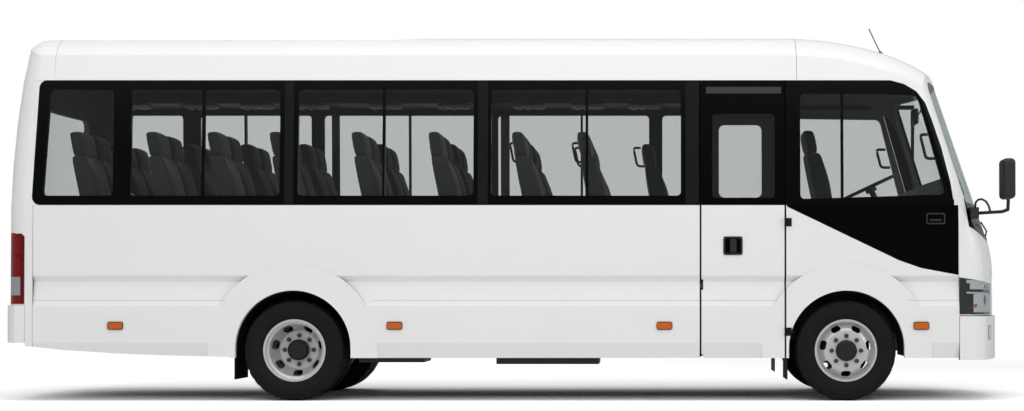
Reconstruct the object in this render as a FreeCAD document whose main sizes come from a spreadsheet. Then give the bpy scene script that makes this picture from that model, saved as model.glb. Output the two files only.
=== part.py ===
import FreeCAD, Part

import functools
import math
import os
import re

import Sketcher

from FreeCAD import Placement, Rotation, Vector

os.makedirs("parts", exist_ok=True)

# Driving dimensions of the minibus, in millimetres and degrees.
# +X is forward, +Y is the vehicle's left, +Z is up, and the ground is at Z = 0.
SIZES = {
    # Wheels and axles
    "wheelbase": 3995,
    "front_axle_x": 2460,
    "tyre_radius": 363,
    "tyre_width": 215,
    "tread_width": 176,
    "tyre_y": 858,
    "dual_spacing": 240,
    "rim_half_width": 83,
    "rim_lip_radius": 226,
    "bead_radius": 219,
    "rim_well_radius": 200,
    "rim_gauge": 9,
    "disc_offset": 105,
    "disc_gauge": 12,
    "disc_face_radius": 145,
    "hub_radius": 76,
    "hand_hole_count": 7,
    "hand_hole_circle": 168,
    "hand_hole_length": 70,
    "hand_hole_width": 40,
    "spindle_radius": 30,
    "kingpin_y": 798,
    "kingpin_radius": 16,
    "running_fit": 0.4,
    # Body shell
    "half_width": 1003,
    "belt_half_width": 1000,
    "wall": 45,
    "trim_fit": 0.3,
    "lining_fit": 0.5,
    "sill_z": 310,
    "sill_half_width": 974,
    "tuck_z": 420,
    "rub_z": 684,
    "seam_z": 706,
    "seam_half_width": 995,
    "swage_half_width": 972,
    "swage_low_z": 863,
    "swage_z": 905,
    "belt_z": 1413,
    "band_top_z": 2320,
    "band_top_half_width": 962,
    "crease_z": 2505,
    "crease_half_width": 930,
    "roof_z": 2705,
    "crown_radius": 5200,
    "crown_half_width": 690,
    "nose_x": 3650,
    "nose_z": 930,
    "nose_radius": 800,
    "screen_rake": 19,
    "front_bow_radius": 2300,
    "front_corner_radius": 160,
    "tail_x": 3675,
    "tail_lean_z": 1250,
    "tail_lean": 0.000073,
    "rear_bow_radius": 6000,
    "rear_corner_radius": 150,
    "front_cap_x": 2100,
    "front_dome_x": 2000,
    "front_dome_length": 1290,
    "front_dome_drop": 580,
    "rear_cap_x": -3270,
    "rear_dome_x": -3380,
    "rear_dome_length": 220,
    "rear_dome_drop": 300,
    "dome_lead": 150,
    "rear_corner_x": -3410,
    "rear_bumper_x": -3468,
    "front_corner_x": 3272,
    "side_depth_y": 760,
    # Wheel arches
    "arch_radius": 417,
    "arch_centre_z": 380,
    "flare_crest_z": 993,
    "liner_radius": 430,
    "liner_gauge": 6,
    "liner_inner_y": 530,
    # Doors
    "door_rear_x": 1410,
    "door_front_x": 2014,
    "door_gap": 8,
    "door_bottom_z": 317,
    "rebate": 16,
    "rebate_depth": 22,
    "cab_door_rear_x": 2130,
    "cab_door_front_x": 3190,
    "cab_door_bottom_z": 1010,
    "hinge_radius": 8,
    "hinge_pin_radius": 4,
    "hinge_height": 60,
    "hinge_leaf": 45,
    "hinge_gauge": 3,
    "hinge_fit": 0.5,
    # Windows
    "glass_gauge": 6,
    "glass_setback": 5,
    "glass_fit": 0.3,
    "glass_top_z": 2251,
    "glass_bottom_z": 1482,
    "glass_corner_radius": 32,
    "mullion": 18,
    "screen_top_z": 2326,
    "screen_bottom_z": 1222,
    "screen_top_half_width": 850,
    "screen_bottom_half_width": 925,
    "screen_corner_radius": 90,
    # Floor and chassis
    "floor_z": 850,
    "floor_gauge": 35,
    "step_tread_z": 352,
    "step_riser": 250,
    "rail_y": 400,
    "rail_height": 160,
    "rail_flange": 60,
    "rail_gauge": 7,
    "rail_top_z": 700,
    "bearer_fit": 1.5,
    "eye_reach": 80,
    "frame_rear_x": -3480,
    "frame_front_x": 3480,
    "eye_gauge": 20,
    "eye_radius": 18,
    "axle_tube_radius": 62,
    "axle_low_z": 320,
    "spring_half_length": 640,
    "spring_width": 70,
    "leaf_gauge": 12,
    # Seats
    "seat_width": 430,
    "seat_depth": 410,
    "seat_height": 1265,
    "seat_cushion": 110,
    "seat_back_gauge": 90,
    "seat_back_height": 690,
    "seat_rake": 12,
}

doc = FreeCAD.newDocument("Minibus")
sheet = doc.addObject("Spreadsheet::Sheet", "Sizes")
for row, (alias, value) in enumerate(SIZES.items(), start=1):
    sheet.set(f"A{row}", alias)
    sheet.set(f"B{row}", str(value))
    sheet.setAlias(f"B{row}", alias)
doc.recompute()


class Sheet:
    """Reads the driving dimensions from the spreadsheet by name."""

    def __getattr__(self, alias):
        return float(sheet.get(alias))


s = Sheet()
rear_axle_x = s.front_axle_x - s.wheelbase
axle_z = s.tyre_radius
NODES = []


def publish(label, shape):
    """Adds one finished sub-part whose form was made with the geometry kernel."""
    feature = doc.addObject("Part::Feature", label)
    feature.Label = label
    feature.Shape = shape
    NODES.append(feature)
    return feature


def left_of(shape):
    """The left-hand twin of a right-hand piece."""
    return shape.mirror(Vector(0, 0, 0), Vector(0, 1, 0))


def both_sides(shape):
    return Part.makeCompound([shape, left_of(shape)])


def solids_of(shape):
    """Strips a boolean's result down to its solids."""
    found = shape.Solids
    return found[0] if len(found) == 1 else Part.makeCompound(found)


def rounded_wire(points, place):
    """Closed outline from (u, v) corners, or (u, v, radius) where a corner is round."""
    corners = [(Vector(p[0], p[1], 0), p[2] if len(p) > 2 else 0) for p in points]
    count = len(corners)
    ends = []
    for i, (here, radius) in enumerate(corners):
        before = (corners[i - 1][0] - here).normalize()
        after = (corners[(i + 1) % count][0] - here).normalize()
        if radius == 0:
            ends.append((here, None, here))
            continue
        half = before.getAngle(after) / 2
        reach = radius / math.tan(half)
        centre = here + (before + after).normalize() * (radius / math.sin(half))
        middle = centre + (here - centre).normalize() * radius
        ends.append((here + before * reach, middle, here + after * reach))
    edges = []
    for i, (start, middle, end) in enumerate(ends):
        if middle is not None:
            edges.append(Part.Arc(place(start), place(middle), place(end)).toShape())
        following = ends[(i + 1) % count][0]
        if (following - end).Length > 1e-6:
            edges.append(Part.LineSegment(place(end), place(following)).toShape())
    return Part.Wire(edges)


def side_prism(points, y_from, y_to):
    """Prism along Y from an outline drawn in side view as (x, z)."""
    wire = rounded_wire(points, lambda p: Vector(p.x, y_from, p.y))
    return Part.Face(wire).extrude(Vector(0, y_to - y_from, 0))


def front_prism(points, x_from, x_to):
    """Prism along X from an outline drawn in front view as (y, z)."""
    wire = rounded_wire(points, lambda p: Vector(x_from, p.x, p.y))
    return Part.Face(wire).extrude(Vector(x_to - x_from, 0, 0))


def plan_prism(points, z_from, z_to):
    """Prism along Z from an outline drawn in plan as (x, y)."""
    wire = rounded_wire(points, lambda p: Vector(p.x, p.y, z_from))
    return Part.Face(wire).extrude(Vector(0, 0, z_to - z_from))


def block(x_from, x_to, y_from, y_to, z_from, z_to):
    corner = Vector(x_from, y_from, z_from)
    return Part.makeBox(x_to - x_from, y_to - y_from, z_to - z_from, corner)


def rod(start, end, radius):
    return Part.makeCylinder(radius, (end - start).Length, start, end - start)


# Body form: one outer surface that every panel is cut from

FAR = 5000


def half_width_at(z):
    """Half width of the body at a height, between its named breaks."""
    breaks = [
        (s.swage_z, s.half_width),
        (s.belt_z, s.belt_half_width),
        (s.band_top_z, s.band_top_half_width),
        (s.crease_z, s.crease_half_width),
    ]
    if z <= breaks[0][0]:
        return breaks[0][1]
    for (z0, w0), (z1, w1) in zip(breaks, breaks[1:]):
        if z <= z1:
            return w0 + (w1 - w0) * (z - z0) / (z1 - z0)
    return breaks[-1][1]


def nose_at(z):
    """Foremost X of the body on its centreline at a height."""
    rake = math.radians(s.screen_rake)
    arc_end_z = s.nose_z + s.nose_radius * math.sin(rake)
    if z <= s.nose_z:
        return s.nose_x
    if z <= arc_end_z:
        rise = z - s.nose_z
        return s.nose_x - s.nose_radius + math.sqrt(s.nose_radius**2 - rise**2)
    arc_end_x = s.nose_x - s.nose_radius * (1 - math.cos(rake))
    return arc_end_x - (z - arc_end_z) * math.tan(rake)


def tail_at(z):
    """Rearmost X of the body on its centreline at a height."""
    lean = max(0, z - s.tail_lean_z)
    return -s.tail_x + s.tail_lean * lean**2


def end_points(half, end_x, bow, corner, way):
    """Corner and bow points of one end of the plan outline, from the right side on."""
    centre_x = end_x - way * bow
    corner_y = half - corner
    corner_x = centre_x + way * math.sqrt((bow - corner) ** 2 - corner_y**2)
    tangent = math.atan2(corner_y, abs(corner_x - centre_x))
    meet = Vector(centre_x + way * bow * math.cos(tangent), -bow * math.sin(tangent), 0)
    middle_angle = (math.pi / 2 + tangent) / 2
    middle = Vector(
        corner_x + way * corner * math.cos(middle_angle),
        -corner_y - corner * math.sin(middle_angle),
        0,
    )
    side = Vector(corner_x, -half, 0)
    return side, middle, meet, Vector(end_x, 0, 0)


def mirrored(point):
    return Vector(point.x, -point.y, point.z)


def plan_wire(z, inset):
    """Horizontal section of the body, with bowed ends and round corners."""
    half = half_width_at(z) - inset
    front = end_points(
        half, nose_at(z) - inset, s.front_bow_radius - inset, s.front_corner_radius - inset, 1
    )
    rear = end_points(
        half, tail_at(z) + inset, s.rear_bow_radius - inset, s.rear_corner_radius - inset, -1
    )
    up = Vector(0, 0, z)
    f_side, f_middle, f_meet, f_end = [p + up for p in front]
    r_side, r_middle, r_meet, r_end = [p + up for p in rear]
    edges = [
        Part.LineSegment(r_side, f_side),
        Part.Arc(f_side, f_middle, f_meet),
        Part.Arc(f_meet, f_end, mirrored(f_meet)),
        Part.Arc(mirrored(f_meet), mirrored(f_middle), mirrored(f_side)),
        Part.LineSegment(mirrored(f_side), mirrored(r_side)),
        Part.Arc(mirrored(r_side), mirrored(r_middle), mirrored(r_meet)),
        Part.Arc(mirrored(r_meet), r_end, r_meet),
        Part.Arc(r_meet, r_middle, r_side),
    ]
    return Part.Wire([edge.toShape() for edge in edges])


@functools.lru_cache(maxsize=None)
def walls_form(inset):
    """Walls of the body: plan sections joined from below the sill to above the roof."""
    rake = math.radians(s.screen_rake)
    nose_steps = 4
    heights = [0, s.nose_z]
    for step in range(1, nose_steps + 1):
        heights.append(s.nose_z + s.nose_radius * math.sin(rake * step / nose_steps))
    lean_steps = 3
    for step in range(lean_steps + 1):
        heights.append(s.belt_z + (s.band_top_z - s.belt_z) * step / lean_steps)
    heights += [s.crease_z, s.roof_z + 100]
    return Part.makeLoft([plan_wire(z, inset) for z in heights], True, True)


def shoulder_arc(x, drop, inset):
    """Arc from the roof's side crease up to where the crown starts, on the right."""
    crown_z = s.roof_z - s.crown_radius
    radius = s.crown_radius - inset
    start_y = s.crown_half_width
    top = Vector(x, -start_y, crown_z + math.sqrt(radius**2 - start_y**2) - drop)
    side = Vector(x, inset - s.crease_half_width, s.crease_z - drop - inset)
    tangent = Vector(0, -radius * math.cos(math.asin(start_y / radius)), -start_y).normalize()
    chord = side - top
    turn = tangent.getAngle(chord)
    arc_radius = chord.Length / (2 * math.sin(turn))
    normal = Vector(0, -tangent.z, tangent.y)
    centre = top + normal * arc_radius
    middle = centre + ((top - centre) + (side - centre)).normalize() * arc_radius
    return side, middle, top


def roof_edges(x, drop, inset):
    """Roof outline at one station: shoulder, crown, shoulder."""
    side, middle, top = shoulder_arc(x, drop, inset)
    peak = Vector(x, 0, s.roof_z - inset - drop)
    return [
        Part.Arc(side, middle, top),
        Part.Arc(top, peak, mirrored(top)),
        Part.Arc(mirrored(top), mirrored(middle), mirrored(side)),
    ]


def closed_section(points, roof):
    """Closes a station's outline from its right-hand points and its roof edges."""
    right = [roof[0].StartPoint] + points
    loop = [p for p in right]
    edges = [edge.toShape() for edge in roof]
    left = [mirrored(p) for p in right]
    chain = left + list(reversed(loop))
    for start, end in zip(chain, chain[1:]):
        edges.append(Part.LineSegment(start, end).toShape())
    return Part.Wire(Part.__sortEdges__(edges))


def section_prism(x_from, x_to, inset, stepped):
    """Body between two stations, from its cross-section with the side swage or without."""
    if stepped:
        corners = [
            (s.band_top_half_width, s.band_top_z),
            (s.belt_half_width, s.belt_z),
            (s.belt_half_width, s.swage_z),
            (s.swage_half_width, s.swage_low_z),
            (s.seam_half_width, s.seam_z),
            (s.half_width, s.rub_z),
            (s.half_width, s.tuck_z),
            (s.sill_half_width, s.sill_z),
        ]
    else:
        corners = [
            (s.band_top_half_width, s.band_top_z),
            (s.belt_half_width, s.belt_z),
            (s.half_width, s.swage_z),
            (s.half_width, 0),
        ]
    points = [Vector(x_from, inset - y, z) for y, z in corners]
    wire = closed_section(points, roof_edges(x_from, 0, inset))
    return Part.Face(wire).extrude(Vector(x_to - x_from, 0, 0))


def dome_form(start, length, depth, inset):
    """Cap of the roof, whose sections come down along an ellipse towards its end."""
    shares = [0, 0.2, 0.4, 0.58, 0.73, 0.85, 0.93, 0.975]
    way = math.copysign(1, length)
    reach = length - way * inset
    wires = []
    for share in shares:
        x = start + reach * share
        drop = (depth - inset) * (1 - math.sqrt(1 - share**2))
        roof = roof_edges(x, drop, inset)
        shoulder = roof[0].StartPoint
        out = Vector(x, -s.half_width - s.wall, shoulder.z - (s.half_width - s.crease_half_width))
        foot = Vector(x, -s.half_width - s.wall, -10)
        wires.append(closed_section([out, foot], roof))
    dome = Part.makeLoft(wires, True, False)
    before = Part.Face(wires[0]).extrude(Vector(-way * s.dome_lead, 0, 0))
    beyond = Part.Face(wires[-1]).extrude(Vector(way * FAR, 0, 0))
    return dome.fuse([before, beyond])


def open_prism(points, side):
    """Side-view outline cut through one side wall: side is -1 for right, 1 for left."""
    y_from, y_to = sorted([side * FAR / 4, side * s.side_depth_y])
    return side_prism(points, y_from, y_to)


def skin(inset):
    """Whole body form at an inset: middle length, front end and rear end."""
    walls = walls_form(inset)
    front = walls.common(dome_form(s.front_dome_x, s.front_dome_length, s.front_dome_drop, inset))
    rear = walls.common(dome_form(s.rear_dome_x, -s.rear_dome_length, s.rear_dome_drop, inset))
    return front, rear


front_outer, rear_outer = skin(0)
front_inner, rear_inner = skin(s.wall)
stepped = section_prism(-FAR, FAR, 0, True)
plain = section_prism(-FAR, FAR, 0, False)
plain_inner = section_prism(-FAR, FAR, s.wall, False)


def station(x_from, x_to, z_from=-10, z_to=3000):
    return block(x_from, x_to, -FAR / 2, FAR / 2, z_from, z_to)


# Wheel arches: flush flares round the openings, where the side swage stops


def arch_prism(axle_x, radius, foot_z, y_from, y_to):
    disc = Part.makeCylinder(
        radius, y_to - y_from, Vector(axle_x, y_from, s.arch_centre_z), Vector(0, 1, 0)
    )
    legs = block(axle_x - radius, axle_x + radius, y_from, y_to, foot_z, s.arch_centre_z)
    return disc.fuse(legs)


AXLES = (s.front_axle_x, rear_axle_x)
lower_middle = station(s.rear_corner_x, s.front_corner_x, s.sill_z, s.belt_z)
wall_block = walls_form(0).common(lower_middle)
flares = Part.makeCompound(
    [
        arch_prism(x, s.flare_crest_z - s.arch_centre_z, 0, -FAR / 4, FAR / 4)
        for x in AXLES
    ]
)
side_outer = wall_block.common(stepped).fuse(wall_block.common(plain).common(flares))
side_inner = walls_form(s.wall).common(plain_inner)
arches = Part.makeCompound(
    [arch_prism(x, s.arch_radius, 0, -FAR / 4, FAR / 4) for x in AXLES]
)
RISING_SILL = [
    (-1990, 0),
    (-1990, 318),
    (-2460, 329),
    (-2820, 343),
    (-3180, 367),
    (-3410, 391),
    (-3700, 420),
    (-3700, 0),
]
below_sill = side_prism(RISING_SILL, -FAR / 4, FAR / 4)
lower_walls = side_outer.cut(side_inner).cut(arches).cut(below_sill)

DOOR = [
    (s.door_rear_x, s.door_bottom_z - 20),
    (s.door_front_x, s.door_bottom_z - 20),
    (s.door_front_x, s.band_top_z - s.door_gap),
    (s.door_rear_x, s.band_top_z - s.door_gap),
]
CAB_DOOR = [
    (s.cab_door_rear_x, s.cab_door_bottom_z, 40),
    (s.cab_door_front_x, s.cab_door_bottom_z, 40),
    (s.cab_door_front_x, 1440, 60),
    (2935, s.band_top_z - s.door_gap, 0),
    (s.cab_door_rear_x, s.band_top_z - s.door_gap, 0),
]


def grown(points, margin):
    """Outline of straight corners moved outward by a margin."""
    wire = rounded_wire(points, lambda p: Vector(p.x, p.y, 0))
    return wire.makeOffset2D(margin, 2)


def grown_prism(points, margin, side):
    """Outline grown by a margin and cut through one side wall."""
    face = Part.Face(grown(points, margin))
    prism = face.extrude(Vector(0, 0, FAR / 4))
    turn = Placement(Vector(0, 0, 0), Rotation(Vector(1, 0, 0), 90))
    prism.Placement = turn
    return prism if side < 0 else left_of(prism)


right_half = block(-FAR, FAR, -FAR / 2, 0, -10, 3000)
left_half = block(-FAR, FAR, 0, FAR / 2, -10, 3000)

# Black window bands with their openings


def glass_outline(x_rear, x_front, z_bottom=None, z_top=None):
    """Window opening with round corners."""
    low = s.glass_bottom_z if z_bottom is None else z_bottom
    high = s.glass_top_z if z_top is None else z_top
    r = s.glass_corner_radius
    return [(x_rear, low, r), (x_front, low, r), (x_front, high, r), (x_rear, high, r)]


CAB_GLASS = [
    (2127, 1458, s.glass_corner_radius),
    (3176, 1490, s.glass_corner_radius),
    (2978, 2215, s.glass_corner_radius + 40),
    (2127, 2225, s.glass_corner_radius),
]
CAB_DOOR_GLASS = [
    (2190, 1470, s.glass_corner_radius),
    (3110, 1490, s.glass_corner_radius),
    (2925, 2215, s.glass_corner_radius + 20),
    (2190, 2225, s.glass_corner_radius),
]
QUARTER_GLASS = [
    (-3346, s.glass_bottom_z, s.glass_corner_radius),
    (-2838, s.glass_bottom_z, s.glass_corner_radius),
    (-2838, s.glass_top_z, s.glass_corner_radius),
    (-3300, s.glass_top_z, s.glass_corner_radius),
]
DOOR_GLASS = glass_outline(1490, 1943, 1466, 2072)
RIGHT_WINDOWS = {
    "quarter": (QUARTER_GLASS, None),
    "rear": (glass_outline(-2713, -1634), -2190),
    "middle": (glass_outline(-1503, -235), -884),
    "front": (glass_outline(-107, 1264), 584),
    "cab": (CAB_GLASS, 2430),
}
LEFT_WINDOWS = {
    "quarter": (glass_outline(-3260, -2820), None),
    "rear": (glass_outline(-2679, -1760), -2306),
    "middle": (glass_outline(-1657, -327), -950),
    "front": (glass_outline(-223, 1023), 467),
    "fore": (glass_outline(1133, 2050), None),
}


def mullion_prism(x, side):
    half = s.mullion / 2
    points = [
        (x - half, s.glass_bottom_z - 60),
        (x + half, s.glass_bottom_z - 60),
        (x + half, s.glass_top_z + 60),
        (x - half, s.glass_top_z + 60),
    ]
    return open_prism(points, side)


BAND = [
    (-3424, s.belt_z, 62),
    (3238, s.belt_z, 0),
    (3211, 1591),
    (3151, 1833),
    (3083, 2036),
    (3037, 2157),
    (2970, 2240),
    (2880, 2293),
    (2781, s.band_top_z),
    (-3377, s.band_top_z, 58),
]
upper_middle = section_prism(s.rear_cap_x, s.front_cap_x, 0, True).cut(
    section_prism(s.rear_cap_x - 1, s.front_cap_x + 1, s.wall, False)
)
front_shell = front_outer.cut(front_inner).common(station(s.front_cap_x, FAR))
rear_shell = rear_outer.cut(rear_inner).common(station(-FAR, s.rear_cap_x))
UPPER = [upper_middle, front_shell, rear_shell]
band_right = open_prism(BAND, -1)
band_left = open_prism(BAND, 1)


def band_shell(prism):
    pieces = [part.common(prism) for part in UPPER]
    whole = pieces[0].fuse(pieces[1:])
    return whole.removeSplitter()


def cut_windows(shell, windows, side):
    """Cuts window openings and leaves the sash bars standing."""
    for outline, bar_x in windows.values():
        opening = open_prism(outline, side)
        if bar_x is not None:
            opening = opening.cut(mullion_prism(bar_x, side))
        shell = shell.cut(opening)
    return shell


door_hole = grown_prism(DOOR, s.door_gap, -1)
cab_door_hole = grown_prism(CAB_DOOR, s.door_gap, 1)
whole_band_right = band_shell(band_right)
whole_band_left = band_shell(band_left)
publish("window_band_right", solids_of(cut_windows(whole_band_right.cut(door_hole), RIGHT_WINDOWS, -1)))
publish("window_band_left", solids_of(cut_windows(whole_band_left.cut(cab_door_hole), LEFT_WINDOWS, 1)))

lower_right = lower_walls.common(right_half).cut(door_hole)
lower_left = lower_walls.common(left_half).cut(cab_door_hole)
publish("side_wall_right", solids_of(lower_right))
publish("side_wall_left", solids_of(lower_left))

# Side windows: panes just inside the outer skin


def pane_layer(inset):
    """Thin layer of the body form in which the panes lie."""
    front, rear = skin(inset)
    middle = section_prism(s.rear_cap_x, s.front_cap_x, inset, False)
    return middle, front.common(station(s.front_cap_x, FAR)), rear.common(station(-FAR, s.rear_cap_x))


pane_outer = pane_layer(s.glass_setback)
pane_inner = pane_layer(s.glass_setback + s.glass_gauge)
pane_layers = [outer.cut(inner) for outer, inner in zip(pane_outer, pane_inner)]
pane_skin = pane_layers[0].fuse(pane_layers[1:])


def pane(outline, bar_x, side):
    """Panes that fill one opening, one each side of its sash bar."""
    shape = pane_skin.common(grown_prism(outline, -s.glass_fit, side))
    if bar_x is not None:
        bar = [
            (bar_x - s.mullion / 2 - s.glass_fit, s.glass_bottom_z - 60),
            (bar_x + s.mullion / 2 + s.glass_fit, s.glass_bottom_z - 60),
            (bar_x + s.mullion / 2 + s.glass_fit, s.glass_top_z + 60),
            (bar_x - s.mullion / 2 - s.glass_fit, s.glass_top_z + 60),
        ]
        shape = shape.cut(open_prism(bar, side))
    return shape.Solids


panes = []
for outline, bar_x in RIGHT_WINDOWS.values():
    panes += pane(outline, bar_x, -1)
for outline, bar_x in LEFT_WINDOWS.values():
    panes += pane(outline, bar_x, 1)
publish("side_windows", Part.makeCompound(panes))

# Doors: each leaf is the wall's own thickness, with a rebate at its opening edge


def wall_and_band(side):
    """Full-height wall with no door in it, for a leaf to be cut from."""
    half = right_half if side < 0 else left_half
    band = whole_band_right if side < 0 else whole_band_left
    return lower_walls.common(half).fuse(band)


rebate_front, rebate_rear = skin(s.rebate_depth)
rebate_middle = section_prism(s.rear_cap_x, s.front_cap_x, s.rebate_depth, False)


def leaf(outline, side, rear_x):
    """Door leaf cut from the wall, with its inner layer stepped back at the opening edge."""
    blank = wall_and_band(side).common(grown_prism(outline, 0, side))
    step = station(rear_x - 1, rear_x + s.rebate)
    cores = [rebate_middle, rebate_front.common(station(s.front_cap_x, FAR))]
    for core in cores:
        blank = blank.cut(core.common(step))
    return blank


def hinge(x, y, z, way, side):
    """One strap hinge: pin and ears with the body's leaf, barrel with the door's leaf."""
    third = s.hinge_height / 3
    pin = Part.makeCylinder(s.hinge_pin_radius, s.hinge_height, Vector(x, y, z))
    ears = [
        Part.makeCylinder(s.hinge_radius, third - s.hinge_fit, Vector(x, y, z)),
        Part.makeCylinder(s.hinge_radius, third - s.hinge_fit, Vector(x, y, z + 2 * third + s.hinge_fit)),
    ]
    skin_y = side * (s.belt_half_width if z > s.swage_z else s.half_width)
    plate_y = sorted([skin_y, y - side * (s.hinge_radius - s.hinge_gauge)])
    x_fixed = sorted([x + way * s.hinge_radius / 4, x + way * s.hinge_leaf])
    fixed = block(*x_fixed, *plate_y, z, z + s.hinge_height)
    slot_foot = Vector(x, y, z + third - s.hinge_fit)
    slot = Part.makeCylinder(s.hinge_radius + s.hinge_fit, third + 2 * s.hinge_fit, slot_foot)
    fixed = fixed.cut(slot)
    body_half = fixed.fuse([pin] + ears)
    x_moving = sorted([x - way * s.hinge_radius / 4, x - way * s.hinge_leaf])
    sunk_y = sorted([skin_y - side * 1, y - side * (s.hinge_radius - s.hinge_gauge)])
    moving = block(*x_moving, *sunk_y, z + third, z + 2 * third)
    barrel = Part.makeCylinder(s.hinge_radius, third, Vector(x, y, z + third))
    bore = Part.makeCylinder(s.hinge_pin_radius + s.trim_fit, third, Vector(x, y, z + third))
    door_half = moving.fuse(barrel).cut(bore)
    return body_half, door_half


door_axis_x = s.door_front_x + s.door_gap / 2
door_axis_y = -s.half_width - s.hinge_radius
cab_axis_x = s.cab_door_front_x + s.door_gap / 2
cab_axis_y = s.belt_half_width + 1 + s.hinge_radius
body_hinges = []
door_leaves = []
cab_leaves = []
for z in (470, 1260):
    fixed, moving = hinge(door_axis_x, door_axis_y, z, 1, -1)
    body_hinges.append(fixed)
    door_leaves.append(moving)
for z in (1060, 1330):
    fixed, moving = hinge(cab_axis_x, cab_axis_y, z, 1, 1)
    body_hinges.append(fixed)
    cab_leaves.append(moving)
publish("door_hinges", Part.makeCompound(body_hinges))

door_skin = leaf(DOOR, -1, s.door_rear_x)
door_skin = door_skin.cut(open_prism(DOOR_GLASS, -1))
handle_cup = block(1574, 1705, -s.half_width - 5, -s.half_width + 18, 1057, 1183)
door_skin = door_skin.cut(handle_cup)
door_handle = block(1584, 1695, -s.belt_half_width + 2, -s.belt_half_width + 10, 1125, 1150).fuse(
    block(1670, 1695, -s.belt_half_width + 10, -s.half_width + 18, 1125, 1150)
)
publish("passenger_door", solids_of(door_skin.fuse(door_handle).fuse(door_leaves)))
publish("passenger_door_glass", Part.makeCompound(pane(DOOR_GLASS, None, -1)))

cab_skin = leaf(CAB_DOOR, 1, s.cab_door_rear_x)
cab_skin = cab_skin.cut(open_prism(CAB_DOOR_GLASS, 1))
cab_handle = block(2200, 2340, s.belt_half_width, s.belt_half_width + 22, 1240, 1262).cut(
    block(2222, 2318, s.belt_half_width - 1, s.belt_half_width + 12, 1230, 1270)
)
publish("driver_door", solids_of(cab_skin.fuse(cab_handle).fuse(cab_leaves)))
publish("driver_door_glass", Part.makeCompound(pane(CAB_DOOR_GLASS, None, 1)))

# Roof: long panel between two domed caps

roof_zone = station(-FAR, FAR, s.band_top_z, 3000)
SCREEN = [
    (-s.screen_bottom_half_width, s.screen_bottom_z, s.screen_corner_radius),
    (s.screen_bottom_half_width, s.screen_bottom_z, s.screen_corner_radius),
    (s.screen_top_half_width, s.screen_top_z, s.screen_corner_radius),
    (-s.screen_top_half_width, s.screen_top_z, s.screen_corner_radius),
]
screen_hole = front_prism(SCREEN, 2700, 4000)
publish("roof_panel", solids_of(upper_middle.common(roof_zone)))
publish("roof_front_cap", solids_of(front_shell.common(roof_zone).cut(screen_hole)))
publish("roof_rear_cap", solids_of(rear_shell.common(roof_zone)))

# Front: pillars, panel, grille, bumper and windscreen

front_upper = front_shell.cut(band_right).cut(band_left)
pillar_zone = station(2700, FAR, 1455, s.band_top_z)
pillars = front_upper.common(pillar_zone).cut(screen_hole)
publish("front_pillars", solids_of(pillars))

glass_outer = walls_form(2).common(front_outer)
glass_inner = walls_form(2 + s.glass_gauge).common(front_outer)
screen_face = Part.Face(
    rounded_wire(SCREEN, lambda p: Vector(2700, p.x, p.y)).makeOffset2D(-s.glass_fit, 2)
)
screen_prism = screen_face.extrude(Vector(1300, 0, 0))
publish("windscreen", solids_of(glass_outer.cut(glass_inner).common(screen_prism)))

BUMPER_TOP = 618
HEADLAMP = [
    (3272, BUMPER_TOP + 6),
    (3700, BUMPER_TOP + 6),
    (3700, 826),
    (3272, 893),
]
nose_shell = walls_form(0).cut(walls_form(s.wall))
nose_zone = station(s.front_corner_x, FAR, BUMPER_TOP, 1455)
headlamp_zone = side_prism(HEADLAMP, -FAR / 2, FAR / 2).cut(
    block(3000, FAR, -640, 640, 0, 2000)
)
GRILLE = [(-470, 760, 40), (470, 760, 40), (540, 900, 40), (-540, 900, 40)]
grille_hole = front_prism(GRILLE, 3200, 4000)
belt_front = station(3238, FAR, s.belt_z, 1455)
front_blank = nose_shell.common(nose_zone.cut(belt_front).fuse(belt_front))
front_panel = front_blank.cut(band_right).cut(band_left).cut(screen_hole)
front_panel = front_panel.cut(headlamp_zone).cut(grille_hole)
publish("front_panel", solids_of(front_panel))

headlamps = nose_shell.common(headlamp_zone).common(station(3272.5, FAR, BUMPER_TOP + 6.5, 892))
publish("headlamps", solids_of(headlamps.common(block(0, FAR, -FAR, -640.3, 0, 2000)).fuse(
    headlamps.common(block(0, FAR, 640.3, FAR, 0, 2000)))))

grille_layer = walls_form(8).cut(walls_form(30)).common(front_prism(GRILLE, 3200, 4000))
slots = []
slot_pitch = 28
for i in range(4):
    z = 775 + i * slot_pitch
    slots.append(block(3000, 4000, -455, 455, z, z + 16))
publish("grille", solids_of(grille_layer.cut(Part.makeCompound(slots))))

bumper_outer = walls_form(-20)
bumper_inner = walls_form(s.wall - 10)
bumper_zone = station(s.front_corner_x, FAR, 296, BUMPER_TOP - 6)
bumper = bumper_outer.cut(bumper_inner).common(bumper_zone)
side_trim = Part.makeCompound([block(3000, 3400, -FAR, -s.half_width, 0, 1000),
                               block(3000, 3400, s.half_width, FAR, 0, 1000)])
FOG_LAMP = (-860, -720, 440, 545)
fog_holes = both_sides(block(3400, 3800, *FOG_LAMP))
bumper = bumper.cut(side_trim).cut(fog_holes)
publish("front_bumper", solids_of(bumper))
fog_layer = walls_form(0).cut(walls_form(s.wall - 10))
fog_lamp = block(
    3400,
    3800,
    FOG_LAMP[0] + s.trim_fit,
    FOG_LAMP[1] - s.trim_fit,
    FOG_LAMP[2] + s.trim_fit,
    FOG_LAMP[3] - s.trim_fit,
)
publish("fog_lamps", solids_of(fog_layer.common(both_sides(fog_lamp))))

# Rear: panel with its window, bumper and lamps

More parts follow.
